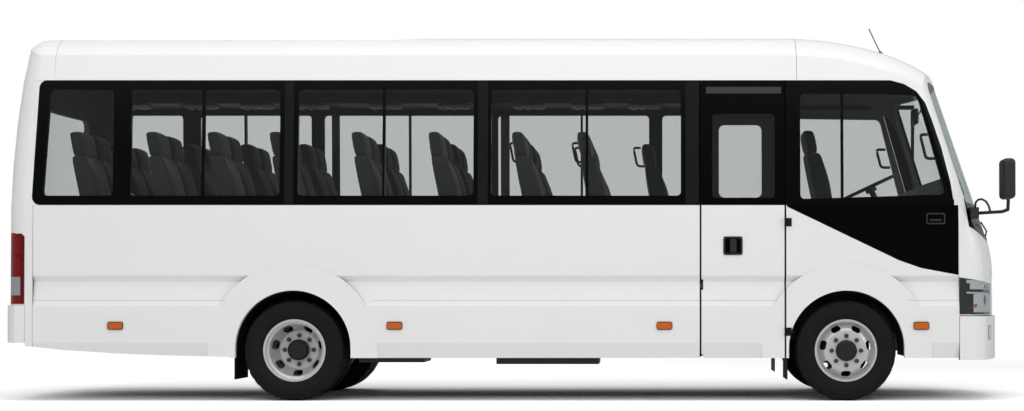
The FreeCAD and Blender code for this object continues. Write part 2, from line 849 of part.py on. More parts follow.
REAR_GLASS = [(-760, 1500, 80), (760, 1500, 80), (720, 2180, 80), (-720, 2180, 80)]
rear_hole = front_prism(REAR_GLASS, -4000, -3300)
rear_zone = station(-FAR, s.rear_corner_x, 690, s.band_top_z).fuse(
    station(s.rear_bumper_x, s.rear_corner_x, s.sill_z, 690)
)
rear_wall = rear_outer.cut(rear_inner).common(rear_zone).cut(below_sill)
tail_lamp_zone = both_sides(
    side_prism([(-3700, 700, 0), (-3500, 700, 0), (-3500, 1213, 60), (-3700, 1213, 0)], -1200, -780)
)
rear_panel = rear_wall.cut(band_right).cut(band_left).cut(rear_hole).cut(tail_lamp_zone)
publish("rear_panel", solids_of(rear_panel))
tail_zone = both_sides(
    side_prism([(-3700, 700.4), (-3500.4, 700.4), (-3500.4, 1212.6, 60), (-3700, 1212.6)], -1200, -780.4)
)
publish("tail_lamps", solids_of(walls_form(0).cut(walls_form(30)).common(tail_zone)))
rear_glass_layer = walls_form(s.glass_setback).cut(walls_form(s.glass_setback + s.glass_gauge))
rear_glass_face = Part.Face(
    rounded_wire(REAR_GLASS, lambda p: Vector(-4000, p.x, p.y)).makeOffset2D(-s.glass_fit, 2)
)
publish("rear_window", solids_of(rear_glass_layer.common(rear_glass_face.extrude(Vector(700, 0, 0)))))
rear_bumper_zone = station(-FAR, s.rear_bumper_x, 420, 690)
rear_bumper = walls_form(-20).cut(walls_form(s.wall - 10)).common(rear_bumper_zone)
rear_bumper = rear_bumper.cut(both_sides(block(-3600, -3400, -FAR, -s.half_width, 0, 1000)))
publish("rear_bumper", solids_of(rear_bumper))

# Sketched and primitive pieces, bound to the sheet by expressions


def formula(text):
    """Turns a plain formula into one that reads the sheet."""
    def cell(word):
        return f"Sizes.{word.group(0)}" if word.group(0) in SIZES else word.group(0)

    return re.sub(r"[a-z_][a-z_0-9]*", cell, str(text))


def value_of(text):
    return float(eval_cell(formula(text)))


probe = doc.addObject("Part::Vertex", "Probe")


def eval_cell(text):
    probe.setExpression("X", text)
    doc.recompute([probe])
    return probe.X


def bind(thing, **formulas):
    for name, text in formulas.items():
        thing.setExpression(name.replace("__", "."), formula(text))
    return thing


def place(thing, x=0, y=0, z=0):
    bind(thing, Placement__Base__x=x, Placement__Base__y=y, Placement__Base__z=z)
    return thing


def box(name, x, y, z, length, width, height):
    """Box from its low corner and its three sizes."""
    thing = doc.addObject("Part::Box", name)
    bind(thing, Length=length, Width=width, Height=height)
    return place(thing, x, y, z)


TURNS = {
    "x": Rotation(Vector(0, 1, 0), 90),
    "y": Rotation(Vector(1, 0, 0), -90),
    "z": Rotation(),
}


def cylinder(name, x, y, z, radius, length, axis):
    """Cylinder from the centre of its first end, along +X, +Y or +Z."""
    thing = doc.addObject("Part::Cylinder", name)
    thing.Placement = Placement(Vector(0, 0, 0), TURNS[axis])
    bind(thing, Radius=radius, Height=length)
    return place(thing, x, y, z)


def fused(name, things):
    whole = doc.addObject("Part::MultiFuse", name)
    whole.Shapes = things
    return whole


def cut(name, base, tool):
    whole = doc.addObject("Part::Cut", name)
    whole.Base = base
    whole.Tool = tool
    return whole


def group(name, things):
    whole = doc.addObject("Part::Compound", name)
    whole.Links = things
    return whole


def twin(name, thing):
    """Mirror image of a piece on the vehicle's other side."""
    other = doc.addObject("Part::Mirroring", name)
    other.Source = thing
    other.Normal = Vector(0, 1, 0)
    return other


def node(label, thing):
    thing.Label = label
    NODES.append(thing)
    return thing


def plane_of(body, role):
    return next(f for f in body.Origin.OriginFeatures if f.Role == role)


def outline(body, name, role, points):
    """Closed sketch of straight lines whose corners are formulas."""
    sketch = body.newObject("Sketcher::SketchObject", name)
    sketch.AttachmentSupport = [(plane_of(body, role), "")]
    sketch.MapMode = "FlatFace"
    corners = [Vector(value_of(u), value_of(v), 0) for u, v in points]
    count = len(corners)
    for i in range(count):
        sketch.addGeometry(Part.LineSegment(corners[i], corners[(i + 1) % count]), False)
    for i in range(count):
        sketch.addConstraint(Sketcher.Constraint("Coincident", i, 2, (i + 1) % count, 1))
    for i, (u, v) in enumerate(points):
        for kind, text, number in (("DistanceX", u, corners[i].x), ("DistanceY", v, corners[i].y)):
            if abs(number) < 1e-9:
                axis = -2 if kind == "DistanceX" else -1
                sketch.addConstraint(Sketcher.Constraint("PointOnObject", i, 1, axis))
                continue
            index = sketch.addConstraint(Sketcher.Constraint(kind, -1, 1, i, 1, number))
            sketch.setExpression(f"Constraints[{index}]", formula(text))
    return sketch


def turned(name, points, outboard=1):
    """Piece revolved about its Y axis from (offset outboard, radius) corners."""
    body = doc.addObject("PartDesign::Body", name)
    sketch = outline(body, name + "_profile", "YZ_Plane", points)
    spin = body.newObject("PartDesign::Revolution", name + "_turn")
    spin.Profile = sketch
    spin.ReferenceAxis = (sketch, ["H_Axis"])
    spin.Angle = 360
    if outboard < 0:
        body.Placement = Placement(Vector(0, 0, 0), Rotation(Vector(0, 0, 1), 180))
    return body


def hand_holes(body):
    """Ring of oval openings through a wheel's disc."""
    sketch = body.newObject("Sketcher::SketchObject", body.Name + "_hole")
    sketch.AttachmentSupport = [(plane_of(body, "XZ_Plane"), "")]
    sketch.MapMode = "FlatFace"
    flat = s.hand_hole_length / 2 - s.hand_hole_width / 2
    circle = s.hand_hole_circle
    r = s.hand_hole_width / 2
    low = Vector(-flat, -circle, 0)
    high = Vector(flat, -circle, 0)
    up = Vector(0, 0, 1)
    half = math.pi / 2
    sketch.addGeometry(Part.ArcOfCircle(Part.Circle(low, up, r), half, 3 * half), False)
    sketch.addGeometry(Part.ArcOfCircle(Part.Circle(high, up, r), -half, half), False)
    sketch.addGeometry(Part.LineSegment(low - Vector(0, r, 0), high - Vector(0, r, 0)), False)
    sketch.addGeometry(Part.LineSegment(high + Vector(0, r, 0), low + Vector(0, r, 0)), False)
    hole = body.newObject("PartDesign::Pocket", body.Name + "_pocket")
    hole.Profile = sketch
    hole.Type = "ThroughAll"
    hole.Midplane = True
    ring = body.newObject("PartDesign::PolarPattern", body.Name + "_ring")
    ring.Originals = [hole]
    ring.Axis = (sketch, ["N_Axis"])
    ring.Angle = 360
    bind(ring, Occurrences="hand_hole_count")
    body.Tip = ring
    return body


RIM = [
    ("-rim_half_width", "rim_lip_radius"),
    ("-rim_half_width + 8", "rim_lip_radius"),
    ("-rim_half_width + 11", "bead_radius"),
    ("-43", "bead_radius"),
    ("-30", "rim_well_radius"),
    ("30", "rim_well_radius"),
    ("43", "bead_radius"),
    ("rim_half_width - 11", "bead_radius"),
    ("rim_half_width - 8", "rim_lip_radius"),
    ("rim_half_width", "rim_lip_radius"),
    ("rim_half_width", "bead_radius - rim_gauge"),
    ("47", "bead_radius - rim_gauge"),
    ("34", "rim_well_radius - rim_gauge"),
]
DISC_OUT = [
    ("disc_offset - 10", "disc_face_radius + 17"),
    ("disc_offset", "disc_face_radius"),
    ("disc_offset", "hub_radius + running_fit"),
    ("disc_offset - disc_gauge", "hub_radius + running_fit"),
    ("disc_offset - disc_gauge", "disc_face_radius - 5"),
    ("disc_offset - 22", "disc_face_radius + 10"),
    ("20", "rim_well_radius - rim_gauge"),
]
RIM_END = [
    ("-34", "rim_well_radius - rim_gauge"),
    ("-47", "bead_radius - rim_gauge"),
    ("-rim_half_width", "bead_radius - rim_gauge"),
]
DUAL_DISC = [
    ("dual_spacing / 2 - 12", "disc_face_radius + 12"),
    ("dual_spacing / 2", "disc_face_radius"),
    ("dual_spacing / 2", "hub_radius + running_fit"),
    ("dual_spacing / 2 - disc_gauge", "hub_radius + running_fit"),
    ("dual_spacing / 2 - disc_gauge", "disc_face_radius - 5"),
    ("dual_spacing / 2 - 24", "disc_face_radius + 6"),
    ("20", "rim_well_radius - rim_gauge"),
]
TYRE = [
    ("-rim_half_width + 11.5", "bead_radius + running_fit"),
    ("-rim_half_width + 8", "rim_lip_radius + running_fit"),
    ("-rim_half_width - 6", "rim_lip_radius + 6"),
    ("-tyre_width / 2", "292"),
    ("-tread_width / 2 - 6", "tyre_radius - 12"),
    ("-tread_width / 2", "tyre_radius"),
    ("tread_width / 2", "tyre_radius"),
    ("tread_width / 2 + 6", "tyre_radius - 12"),
    ("tyre_width / 2", "292"),
    ("rim_half_width + 6", "rim_lip_radius + 6"),
    ("rim_half_width - 8", "rim_lip_radius + running_fit"),
    ("rim_half_width - 11.5", "bead_radius + running_fit"),
]
FRONT_HUB = [
    ("0", "spindle_radius + running_fit"),
    ("0", "150"),
    ("80", "150"),
    ("disc_offset - disc_gauge - running_fit", "136"),
    ("disc_offset - disc_gauge - running_fit", "hub_radius"),
    ("disc_offset + 20", "hub_radius"),
    ("disc_offset + 30", "hub_radius - 16"),
    ("disc_offset + 30", "0"),
    ("disc_offset - 3", "0"),
    ("disc_offset - 3", "spindle_radius + running_fit"),
]
REAR_HUB = [
    ("-150", "spindle_radius + 15 + running_fit"),
    ("-150", "150"),
    ("-45", "150"),
    ("-disc_gauge - running_fit", "134"),
    ("-disc_gauge - running_fit", "hub_radius"),
    ("65", "hub_radius"),
    ("75", "hub_radius - 14"),
    ("75", "0"),
    ("48", "0"),
    ("48", "spindle_radius + 15 + running_fit"),
]

for side_name, way in (("right", -1), ("left", 1)):
    wheel_y = f"{way} * tyre_y"
    inner_y = f"{way} * (tyre_y - dual_spacing)"
    mid_y = f"{way} * (tyre_y - dual_spacing / 2)"
    rear_x = "front_axle_x - wheelbase"
    tyre = turned(f"tyre_front_{side_name}", TYRE, way)
    node(f"tyre_front_{side_name}", place(tyre, "front_axle_x", wheel_y, "tyre_radius"))
    rim = hand_holes(turned(f"rim_front_{side_name}", RIM + DISC_OUT[::1] + RIM_END, way))
    node(f"rim_front_{side_name}", place(rim, "front_axle_x", wheel_y, "tyre_radius"))
    hub = turned(f"hub_front_{side_name}", FRONT_HUB, way)
    node(f"hub_front_{side_name}", place(hub, "front_axle_x", wheel_y, "tyre_radius"))
    outer_tyre = place(turned(f"outer_tyre_{side_name}", TYRE, way), rear_x, wheel_y, "tyre_radius")
    inner_tyre = place(turned(f"inner_tyre_{side_name}", TYRE, way), rear_x, inner_y, "tyre_radius")
    node(f"tyres_rear_{side_name}", group(f"tyres_rear_{side_name}", [outer_tyre, inner_tyre]))
    dual = RIM + DUAL_DISC + RIM_END
    outer_rim = hand_holes(turned(f"outer_rim_{side_name}", dual, -way))
    inner_rim = hand_holes(turned(f"inner_rim_{side_name}", dual, way))
    place(outer_rim, rear_x, wheel_y, "tyre_radius")
    place(inner_rim, rear_x, inner_y, "tyre_radius")
    node(f"rims_rear_{side_name}", group(f"rims_rear_{side_name}", [outer_rim, inner_rim]))
    hub = turned(f"hub_rear_{side_name}", REAR_HUB, way)
    node(f"hub_rear_{side_name}", place(hub, rear_x, mid_y, "tyre_radius"))

# Chassis frame: two channel rails, crossmembers and floor bearers

rail = doc.addObject("PartDesign::Body", "rail_right")
channel = outline(
    rail,
    "channel",
    "YZ_Plane",
    [
        ("-rail_y - rail_flange / 2", "rail_top_z - rail_height"),
        ("-rail_y + rail_flange / 2", "rail_top_z - rail_height"),
        ("-rail_y + rail_flange / 2", "rail_top_z - rail_height + rail_gauge"),
        ("-rail_y - rail_flange / 2 + rail_gauge", "rail_top_z - rail_height + rail_gauge"),
        ("-rail_y - rail_flange / 2 + rail_gauge", "rail_top_z - rail_gauge"),
        ("-rail_y + rail_flange / 2", "rail_top_z - rail_gauge"),
        ("-rail_y + rail_flange / 2", "rail_top_z"),
        ("-rail_y - rail_flange / 2", "rail_top_z"),
    ],
)
length = rail.newObject("PartDesign::Pad", "rail_length")
length.Profile = channel
bind(length, Length="frame_front_x - frame_rear_x")
place(rail, "frame_rear_x", 0, 0)
members = [rail, twin("rail_left", rail)]
web_y = "(rail_y + rail_flange / 2 - rail_gauge)"
for i, x in enumerate((-3460, -2750, -2080, -1000, -200, 700, 3300)):
    members.append(box(f"crossmember_{i}", x, f"-{web_y}", "rail_top_z - 100", 70, f"2 * {web_y}", 90))
for i, x in enumerate((-3400, -2750, -2080, -980, -200, 560, 1180, 3020)):
    members.append(
        box(f"bearer_{i}", x, "-half_width + wall + bearer_fit", "rail_top_z", 60,
            "2 * (half_width - wall - bearer_fit)", "floor_z - floor_gauge - rail_top_z")
    )
mount_y = f"({web_y} - 143)"
for way in (-1, 1):
    y = f"-{web_y}" if way < 0 else mount_y
    for x in (2200, 2750):
        members.append(box(f"engine_mount_{x}_{way + 1}", x, y, 590, 70, 143, 60))
for way in (-1, 1):
    web_face = "rail_y + rail_flange / 2"
    y = f"-({web_face})" if way < 0 else f"{web_face} - eye_gauge"
    for end, x in (("front", "frame_front_x"), ("rear", "frame_rear_x - eye_reach")):
        name = f"tow_eye_{end}_{way + 1}"
        tongue = box(name, x, y, "rail_top_z - 140", "eye_reach", "eye_gauge", 80)
        hole_x = "frame_front_x + 45" if end == "front" else "frame_rear_x - 45"
        hole = cylinder(name + "_hole", hole_x, f"{way} * rail_y - 50", "rail_top_z - 100",
                        "eye_radius", 100, "y")
        members.append(cut(name + "_plate", tongue, hole))
node("chassis_frame", group("chassis_frame", members))

# Axles, springs and steering knuckles

beam = [box("beam", "front_axle_x - 45", "-kingpin_y + 26", "axle_low_z", 90, "2 * kingpin_y - 52", 80)]
for way in (-1, 1):
    y = f"{way} * kingpin_y"
    beam.append(cylinder(f"boss_{way + 1}", "front_axle_x", y, "tyre_radius - 55", 30, 110, "z"))
    beam.append(
        cylinder(f"kingpin_{way + 1}", "front_axle_x", y, "tyre_radius - 92", "kingpin_radius", 184, "z")
    )
node("front_axle", fused("front_axle", beam))

rear_x = "front_axle_x - wheelbase"
housing = [
    cylinder("axle_tube", rear_x, -575, "tyre_radius", "axle_tube_radius", 1150, "y"),
    cylinder("axle_ends", rear_x, -780, "tyre_radius", "spindle_radius + 15", 1560, "y"),
    cylinder("axle_drum", rear_x, -90, "tyre_radius", 165, 180, "y"),
    cylinder("axle_nose", rear_x, 0, "tyre_radius", 75, 330, "x"),
]
node("rear_axle", fused("rear_axle", housing))


def leaf_strip(x, half, seat_z, end_z, gauge):
    """One curved leaf in side view, from its seat up to both its ends."""
    y = -s.rail_y - s.spring_width / 2
    low = Part.Arc(Vector(x - half, y, end_z), Vector(x, y, seat_z), Vector(x + half, y, end_z))
    top = Part.Arc(
        Vector(x + half, y, end_z + gauge), Vector(x, y, seat_z + gauge), Vector(x - half, y, end_z + gauge)
    )
    edges = [
        low.toShape(),
        Part.LineSegment(low.EndPoint, top.StartPoint).toShape(),
        top.toShape(),
        Part.LineSegment(top.EndPoint, low.StartPoint).toShape(),
    ]
    return Part.Face(Part.Wire(edges)).extrude(Vector(0, s.spring_width, 0))


LEAF_SHARES = (0.45, 0.75, 1.0)


def spring(x, seat_z):
    """Three-leaf spring with an eye and hanger at each end."""
    rail_z = s.rail_top_z - s.rail_height
    end_z = rail_z - 50
    rise = end_z - seat_z - 2 * s.leaf_gauge
    parts = []
    for i, share in enumerate(LEAF_SHARES):
        half = s.spring_half_length * share
        base = seat_z + i * s.leaf_gauge
        parts.append(leaf_strip(x, half, base, base + rise * share**2, s.leaf_gauge))
    for way in (-1, 1):
        eye = Vector(x + way * s.spring_half_length, -s.rail_y - s.spring_width / 2, end_z + 8)
        parts.append(Part.makeCylinder(20, s.spring_width, eye, Vector(0, 1, 0)))
        parts.append(
            block(eye.x - 16, eye.x + 16, -s.rail_y - 28, -s.rail_y + 28, end_z + 8, rail_z)
        )
    return parts[0].fuse(parts[1:])


front_springs = spring(s.front_axle_x, s.axle_low_z + 80)
rear_springs = spring(rear_axle_x, axle_z + s.axle_tube_radius)
publish(
    "leaf_springs",
    Part.makeCompound([front_springs, left_of(front_springs), rear_springs, left_of(rear_springs)]),
)

KNUCKLE_PLATE = 28
for side_name, way in (("right", -1), ("left", 1)):
    pin_y = f"{way} * kingpin_y"
    plate_y = f"{way} * kingpin_y - {45 if way > 0 else 35}"
    pieces = [
        box(f"yoke_top_{side_name}", "front_axle_x - 42", plate_y, "tyre_radius + 57", 84, 80, KNUCKLE_PLATE),
        box(f"yoke_low_{side_name}", "front_axle_x - 42", plate_y, "tyre_radius - 85", 84, 80, KNUCKLE_PLATE),
    ]
    web = f"{way} * (kingpin_y + 35)" if way > 0 else "-kingpin_y - 52"
    pieces.append(box(f"web_{side_name}", "front_axle_x - 42", web, "tyre_radius - 85", 84, 17, 170))
    stub = "kingpin_y + 40" if way > 0 else "-tyre_y - disc_offset + 8"
    pieces.append(
        cylinder(f"stub_{side_name}", "front_axle_x", stub, "tyre_radius", "spindle_radius",
                 "tyre_y + disc_offset - 8 - kingpin_y - 40", "y")
    )
    yoke = fused(f"yoke_{side_name}", pieces)
    bore = cylinder(f"kingpin_bore_{side_name}", "front_axle_x", pin_y, "tyre_radius - 120",
                    "kingpin_radius + running_fit", 240, "z")
    node(f"knuckle_{side_name}", cut(f"knuckle_{side_name}", yoke, bore))

# Drive line, tank, exhaust and battery box

node(
    "engine",
    fused(
        "engine",
        [
            box("engine_block", 2130, -280, 470, 800, 560, 580),
            box("gearbox", 1500, -130, 480, 630, 260, 250),
        ],
    ),
)
shaft_start = Vector(1500, 0, 600)
shaft_end = Vector(rear_axle_x + 330, 0, axle_z)
shaft_zone = station(shaft_end.x + s.trim_fit, shaft_start.x - s.trim_fit)
publish("propshaft", rod(shaft_end, shaft_start, 38).common(shaft_zone))

tank = box("tank", -77, -880, 262, 743, 430, 330)
tank_hanger_a = box("tank_hanger_a", 20, -450, 560, 60, 20, 60)
tank_hanger_b = box("tank_hanger_b", 510, -450, 560, 60, 20, 60)
node("fuel_tank", fused("fuel_tank", [tank, tank_hanger_a, tank_hanger_b]))
battery = box("battery_case", -1075, -880, 275, 470, 430, 290)
battery_hanger = box("battery_hanger", -900, -450, 550, 120, 20, 60)
node("battery_box", fused("battery_box", [battery, battery_hanger]))

PIPE = [
    Vector(2130, 200, 500),
    Vector(1780, 200, 500),
    Vector(1640, 480, 500),
    Vector(1500, 620, 500),
    Vector(-760, 620, 500),
    Vector(-900, 780, 470),
    Vector(-940, 860, 330),
    Vector(-940, 960, 272),
]
pipe_radius = 28
pieces = []
for start, end in zip(PIPE, PIPE[1:]):
    pieces.append(rod(start, end, pipe_radius))
    pieces.append(Part.makeSphere(pipe_radius, end))
pieces.pop()
pieces.append(rod(Vector(-500, 620, 500), Vector(300, 620, 500), 95))
pieces.append(block(60, 110, 430, 640, 560, 600))
publish("exhaust", pieces[0].fuse(pieces[1:]).cut(block(2130, 2300, 0, 400, 300, 700)))

# Floor with its entrance steps and engine cover, wheel-arch liners and mudflaps

floor_low_z = s.floor_z - s.floor_gauge
floor_half = s.half_width - s.wall - s.trim_fit
slab = block(-3560, 3180, -floor_half, floor_half, floor_low_z, s.floor_z)
slab = slab.common(walls_form(s.wall + s.lining_fit))
well = block(1425, 2030, -floor_half, -440, floor_low_z, s.floor_z)
cover_hole = block(2060, 2990, -330, 330, floor_low_z, s.floor_z)
slab = slab.cut(well).cut(cover_hole)
steps = []
tread_depth = (floor_half - 440) / 2
for i in range(2):
    tread_z = s.step_tread_z + i * s.step_riser
    y_out = -floor_half + i * tread_depth
    y_in = y_out + tread_depth
    top = min(tread_z + s.step_riser, s.floor_z)
    tread = block(1425, 2030, y_out, y_in, tread_z - 30, tread_z)
    riser = block(1425, 2030, y_in - 15, y_in, tread_z - 30, top)
    rear_cheek = block(1425, 1440, y_out, y_in, tread_z, s.floor_z)
    front_cheek = block(2015, 2030, y_out, y_in, tread_z, s.floor_z)
    steps.append(tread.fuse([riser, rear_cheek, front_cheek]))
cover = block(2040, 3010, -350, 350, s.floor_z, 1120).cut(block(2060, 2990, -330, 330, 0, 1100))
publish("floor", Part.makeCompound([slab, cover] + steps))

liners = []
for x in AXLES:
    centre = Vector(x, -floor_half, axle_z)
    depth = floor_half - s.liner_inner_y
    tube = Part.makeCylinder(s.liner_radius, depth, centre, Vector(0, 1, 0))
    bore = Part.makeCylinder(s.liner_radius - s.liner_gauge, depth, centre, Vector(0, 1, 0))
    arch = tube.cut(bore).common(station(x - 500, x + 500, axle_z - 40, 1000))
    flap_x = x - s.liner_radius
    flap = block(flap_x, flap_x + s.liner_gauge, centre.y, -s.liner_inner_y, axle_z - 210, axle_z - 40)
    liners.append(arch.fuse(flap))
publish("wheel_liners", Part.makeCompound(liners + [left_of(liner) for liner in liners]))

# Inside: dashboard, steering wheel, seats, racks and rails

dash_outline = [(2960, 1130), (3500, 1130), (3500, 1560), (3140, 1605), (3010, 1560), (2930, 1400)]
dash = side_prism(dash_outline, -1200, 1200).common(walls_form(s.wall + s.lining_fit))
dash = dash.cut(side_prism([(3010, 1000), (3500, 1000), (3500, 1520), (3150, 1560), (3040, 1520)], -850, 850))
publish("dashboard", solids_of(dash))

driver_y = 550
wheel_centre = Vector(2800, driver_y, 1637)
tilt = math.radians(25)
column_way = Vector(math.sin(tilt), 0, -math.cos(tilt))
ring = Part.makeTorus(215, 13, wheel_centre, column_way)
spokes = [
    rod(wheel_centre - Vector(0, 210, 0), wheel_centre + Vector(0, 210, 0), 9),
    rod(wheel_centre, wheel_centre - Vector(math.cos(tilt), 0, math.sin(tilt)) * 210, 9),
    rod(wheel_centre - column_way * 8, wheel_centre + column_way * 45, 45),
    rod(wheel_centre, wheel_centre + column_way * 520, 24),
]
column = ring.fuse(spokes).cut(side_prism(dash_outline, -1200, 1200))
publish("steering_wheel", solids_of(max(column.Solids, key=lambda solid: solid.Volume)))

SEAT_ROWS = (-3199, -2646, -2199, -1747, -1151, -590, 18, 494)
FIRST_LEFT_ROW = 956
SEAT_SPOTS = (-734, -344)


def seat(head_x, y, width, top_z, seat_z):
    """One seat: cushion and raked back with its head rest."""
    rake = math.tan(math.radians(s.seat_rake))
    base_x = head_x + (top_z - seat_z) * rake
    back = side_prism(
        [
            (base_x, seat_z - s.seat_cushion, 20),
            (base_x + s.seat_back_gauge, seat_z - s.seat_cushion, 20),
            (head_x + s.seat_back_gauge * 0.75, top_z, 30),
            (head_x, top_z, 30),
        ],
        y - width / 2,
        y + width / 2,
    )
    cushion = side_prism(
        [
            (base_x + s.seat_back_gauge + 1, seat_z - s.seat_cushion, 15),
            (base_x + s.seat_depth, seat_z - s.seat_cushion, 25),
            (base_x + s.seat_depth, seat_z, 40),
            (base_x + s.seat_back_gauge + 1, seat_z - 15, 15),
        ],
        y - width / 2,
        y + width / 2,
    )
    return [back, cushion]


def seat_pair(head_x, way, head_z):
    """Two cushions side by side on a beam with two legs; way is -1 for the right."""
    x = head_x
    soft = []
    for spot in SEAT_SPOTS:
        soft += seat(x, -way * spot, s.seat_width - 44, head_z, s.seat_height)
    base_x = x + (head_z - s.seat_height) * math.tan(math.radians(s.seat_rake))
    low = s.seat_height - s.seat_cushion
    y_from, y_to = sorted([way * 170, way * 925])
    carrier = block(base_x + 40, base_x + 360, y_from, y_to, low - 40, low)
    legs = [
        block(base_x + 120, base_x + 280, way * y - 20, way * y + 20, s.floor_z, low - 40)
        for y in (547, 250)
    ]
    return soft, carrier.fuse(legs)


cushions = []
frames = []
for head_x in SEAT_ROWS + (FIRST_LEFT_ROW,):
    for way in (-1, 1):
        if way < 0 and head_x == FIRST_LEFT_ROW:
            continue
        soft, frame = seat_pair(head_x, way, 1945)
        cushions += soft
        frames.append(frame)
driver_x = 2240
driver_seat_z = 1390
driver_base_x = driver_x + (2070 - driver_seat_z) * math.tan(math.radians(s.seat_rake))
frames.append(
    block(driver_base_x + 50, driver_base_x + 380, driver_y - 120, driver_y + 160, s.floor_z, 1280)
)
cushions += seat(driver_x, driver_y + 20, 440, 2070, driver_seat_z)
publish("seats", Part.makeCompound(cushions))
publish("seat_frames", Part.makeCompound(frames))

rack = front_prism([(-916, 2300), (-640, 2320), (-640, 2350), (-897, 2432)], -3200, 1950)
cabin_form = section_prism(-FAR, FAR, s.wall + s.trim_fit, False)
rack = rack.common(cabin_form)
publish("luggage_racks", both_sides(rack))

pole = rod(Vector(1300, -230, s.floor_z), Vector(1300, -230, 2640), 16)
guard_corner = Vector(1385, -460, 1250)
guard = rod(Vector(1385, -955.5, 1250), guard_corner, 12).fuse(
    [rod(Vector(1385, -460, s.floor_z), guard_corner, 12), Part.makeSphere(13, guard_corner)]
)
publish("handrails", Part.makeCompound([pole.common(cabin_form), guard]))

# Outside: mirrors, wipers, aerial and side markers

housing = block(3536, 3628, -1300, -1105, 1445, 1732)
housing = housing.makeFillet(32, housing.Edges)
arm_points = [(3590, -1200, 1450), (3590, -1180, 1372), (3560, -1120, 1360), (3395, -905, 1358)]
arm = []
for start, end in zip(arm_points, arm_points[1:]):
    arm.append(rod(Vector(*start), Vector(*end), 12))
    arm.append(Part.makeSphere(12, Vector(*end)))
arm.pop()
bracket = block(3360, 3420, -975, -870, 1320, 1400)
outside_form = walls_form(-s.trim_fit)
mirror = housing.fuse(arm + [bracket]).cut(outside_form)
mirror = max(mirror.Solids, key=lambda solid: solid.Volume)
publish("mirrors", both_sides(mirror))


def screen_point(y, z, out):
    """Point standing off the windscreen's surface."""
    bow = s.front_bow_radius
    return Vector(nose_at(z) - bow + math.sqrt(bow**2 - y**2) + out, y, z)


def wiper(pivot_y, tip_y):
    z0, z1 = 1195, 1300
    pivot = screen_point(pivot_y, z0, 12)
    tip = screen_point(tip_y, z1, 22)
    elbow = screen_point((pivot_y + tip_y) / 2, (z0 + z1) / 2, 22)
    boss = rod(screen_point(pivot_y, z0, s.trim_fit), screen_point(pivot_y, z0, 26), 14)
    return boss.fuse([rod(pivot, elbow, 6), Part.makeSphere(6, elbow), rod(elbow, tip, 6)])


WIPERS = ((-80, -700), (620, 20))
publish("wipers", Part.makeCompound([wiper(pivot_y, tip_y).cut(outside_form) for pivot_y, tip_y in WIPERS]))

aerial_foot = Vector(2765, -550, 2556)
aerial = rod(aerial_foot, Vector(2672, -550, 2752), 4).fuse(
    Part.makeCone(18, 8, 30, aerial_foot, Vector(-0.43, 0, 0.9))
)
publish("aerial", aerial.cut(front_outer).Solids[0])

MARKERS = (-2814, -801, 1145, 2997)
marker_z = 520
marks = []
for x in MARKERS:
    inner_y = -s.half_width - s.trim_fit
    marks.append(block(x - 52, x + 52, -s.half_width - 9, inner_y, marker_z, marker_z + 46))
publish("side_markers", both_sides(Part.makeCompound(marks)))

doc.recompute()
faults = [item.Name for item in doc.Objects if {"Invalid", "Error"} & set(item.State)]
for feature in NODES:
    shape = feature.Shape
    if shape.isNull() or not shape.isValid() or not shape.Solids:
        faults.append(feature.Label)
if faults:
    raise RuntimeError("These pieces came out wrong: " + ", ".join(faults))
for feature in NODES:
    feature.Shape.exportStep(os.path.join("parts", feature.Label + ".step"))
    print(feature.Label, len(feature.Shape.Solids), round(feature.Shape.Volume / 1e6, 2))
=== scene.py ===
import math

import bmesh
import bpy
from mathutils import Matrix, Vector


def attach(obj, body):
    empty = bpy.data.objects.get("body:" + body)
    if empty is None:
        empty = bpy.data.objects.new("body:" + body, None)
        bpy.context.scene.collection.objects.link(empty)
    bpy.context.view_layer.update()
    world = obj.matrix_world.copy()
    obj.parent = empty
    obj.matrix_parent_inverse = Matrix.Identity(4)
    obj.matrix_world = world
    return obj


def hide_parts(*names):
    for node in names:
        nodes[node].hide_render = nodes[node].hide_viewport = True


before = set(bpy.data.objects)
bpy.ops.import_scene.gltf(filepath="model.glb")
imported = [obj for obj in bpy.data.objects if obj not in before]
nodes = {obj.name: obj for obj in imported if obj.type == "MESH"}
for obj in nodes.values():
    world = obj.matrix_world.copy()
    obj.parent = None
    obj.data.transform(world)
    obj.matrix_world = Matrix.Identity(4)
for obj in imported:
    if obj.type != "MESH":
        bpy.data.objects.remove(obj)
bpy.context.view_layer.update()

# Camera
# A long lens at bumper height, square to the right side of the bus and
# a little forward of its middle.

CAMERA_PLACE = (1.113, -14.5, 0.728)
SHIFT = (-0.1445, 0.0732)
PITCH_UP = 0.6
camera_data = bpy.data.cameras.new("camera")
camera_data.lens = 65.8
camera_data.sensor_width = 36
camera_data.shift_x, camera_data.shift_y = SHIFT
camera_data.clip_end = 200
camera = bpy.data.objects.new("camera", camera_data)
camera.location = CAMERA_PLACE
camera.rotation_euler = (math.radians(90 + PITCH_UP), 0, 0)
bpy.context.scene.collection.objects.link(camera)
bpy.context.scene.camera = camera

# Studio
# Plain pale floor, an even grey light all round and four soft lamps. The
# floor and the background turn white for the camera alone.


def linear(colour):
    """sRGB hex to the linear colour that shaders take."""
    parts = [int(colour[i:i + 2], 16) / 255 for i in (1, 3, 5)]
    bent = [p / 12.92 if p <= 0.04045 else ((p + 0.055) / 1.055) ** 2.4 for p in parts]
    return (*bent, 1)


def add(tree, kind, settings=None, **inputs):
    """Adds a node with its settings, and its inputs as values or links; i0 is input 0."""
    made = tree.nodes.new(kind)
    for name, value in (settings or {}).items():
        setattr(made, name, value)
    for name, value in inputs.items():
        numbered = name[0] == "i" and name[1:].isdigit()
        socket = made.inputs[int(name[1:]) if numbered else name.replace("_", " ")]
        if isinstance(value, bpy.types.NodeSocket):
            tree.links.new(value, socket)
        else:
            socket.default_value = value
    return made


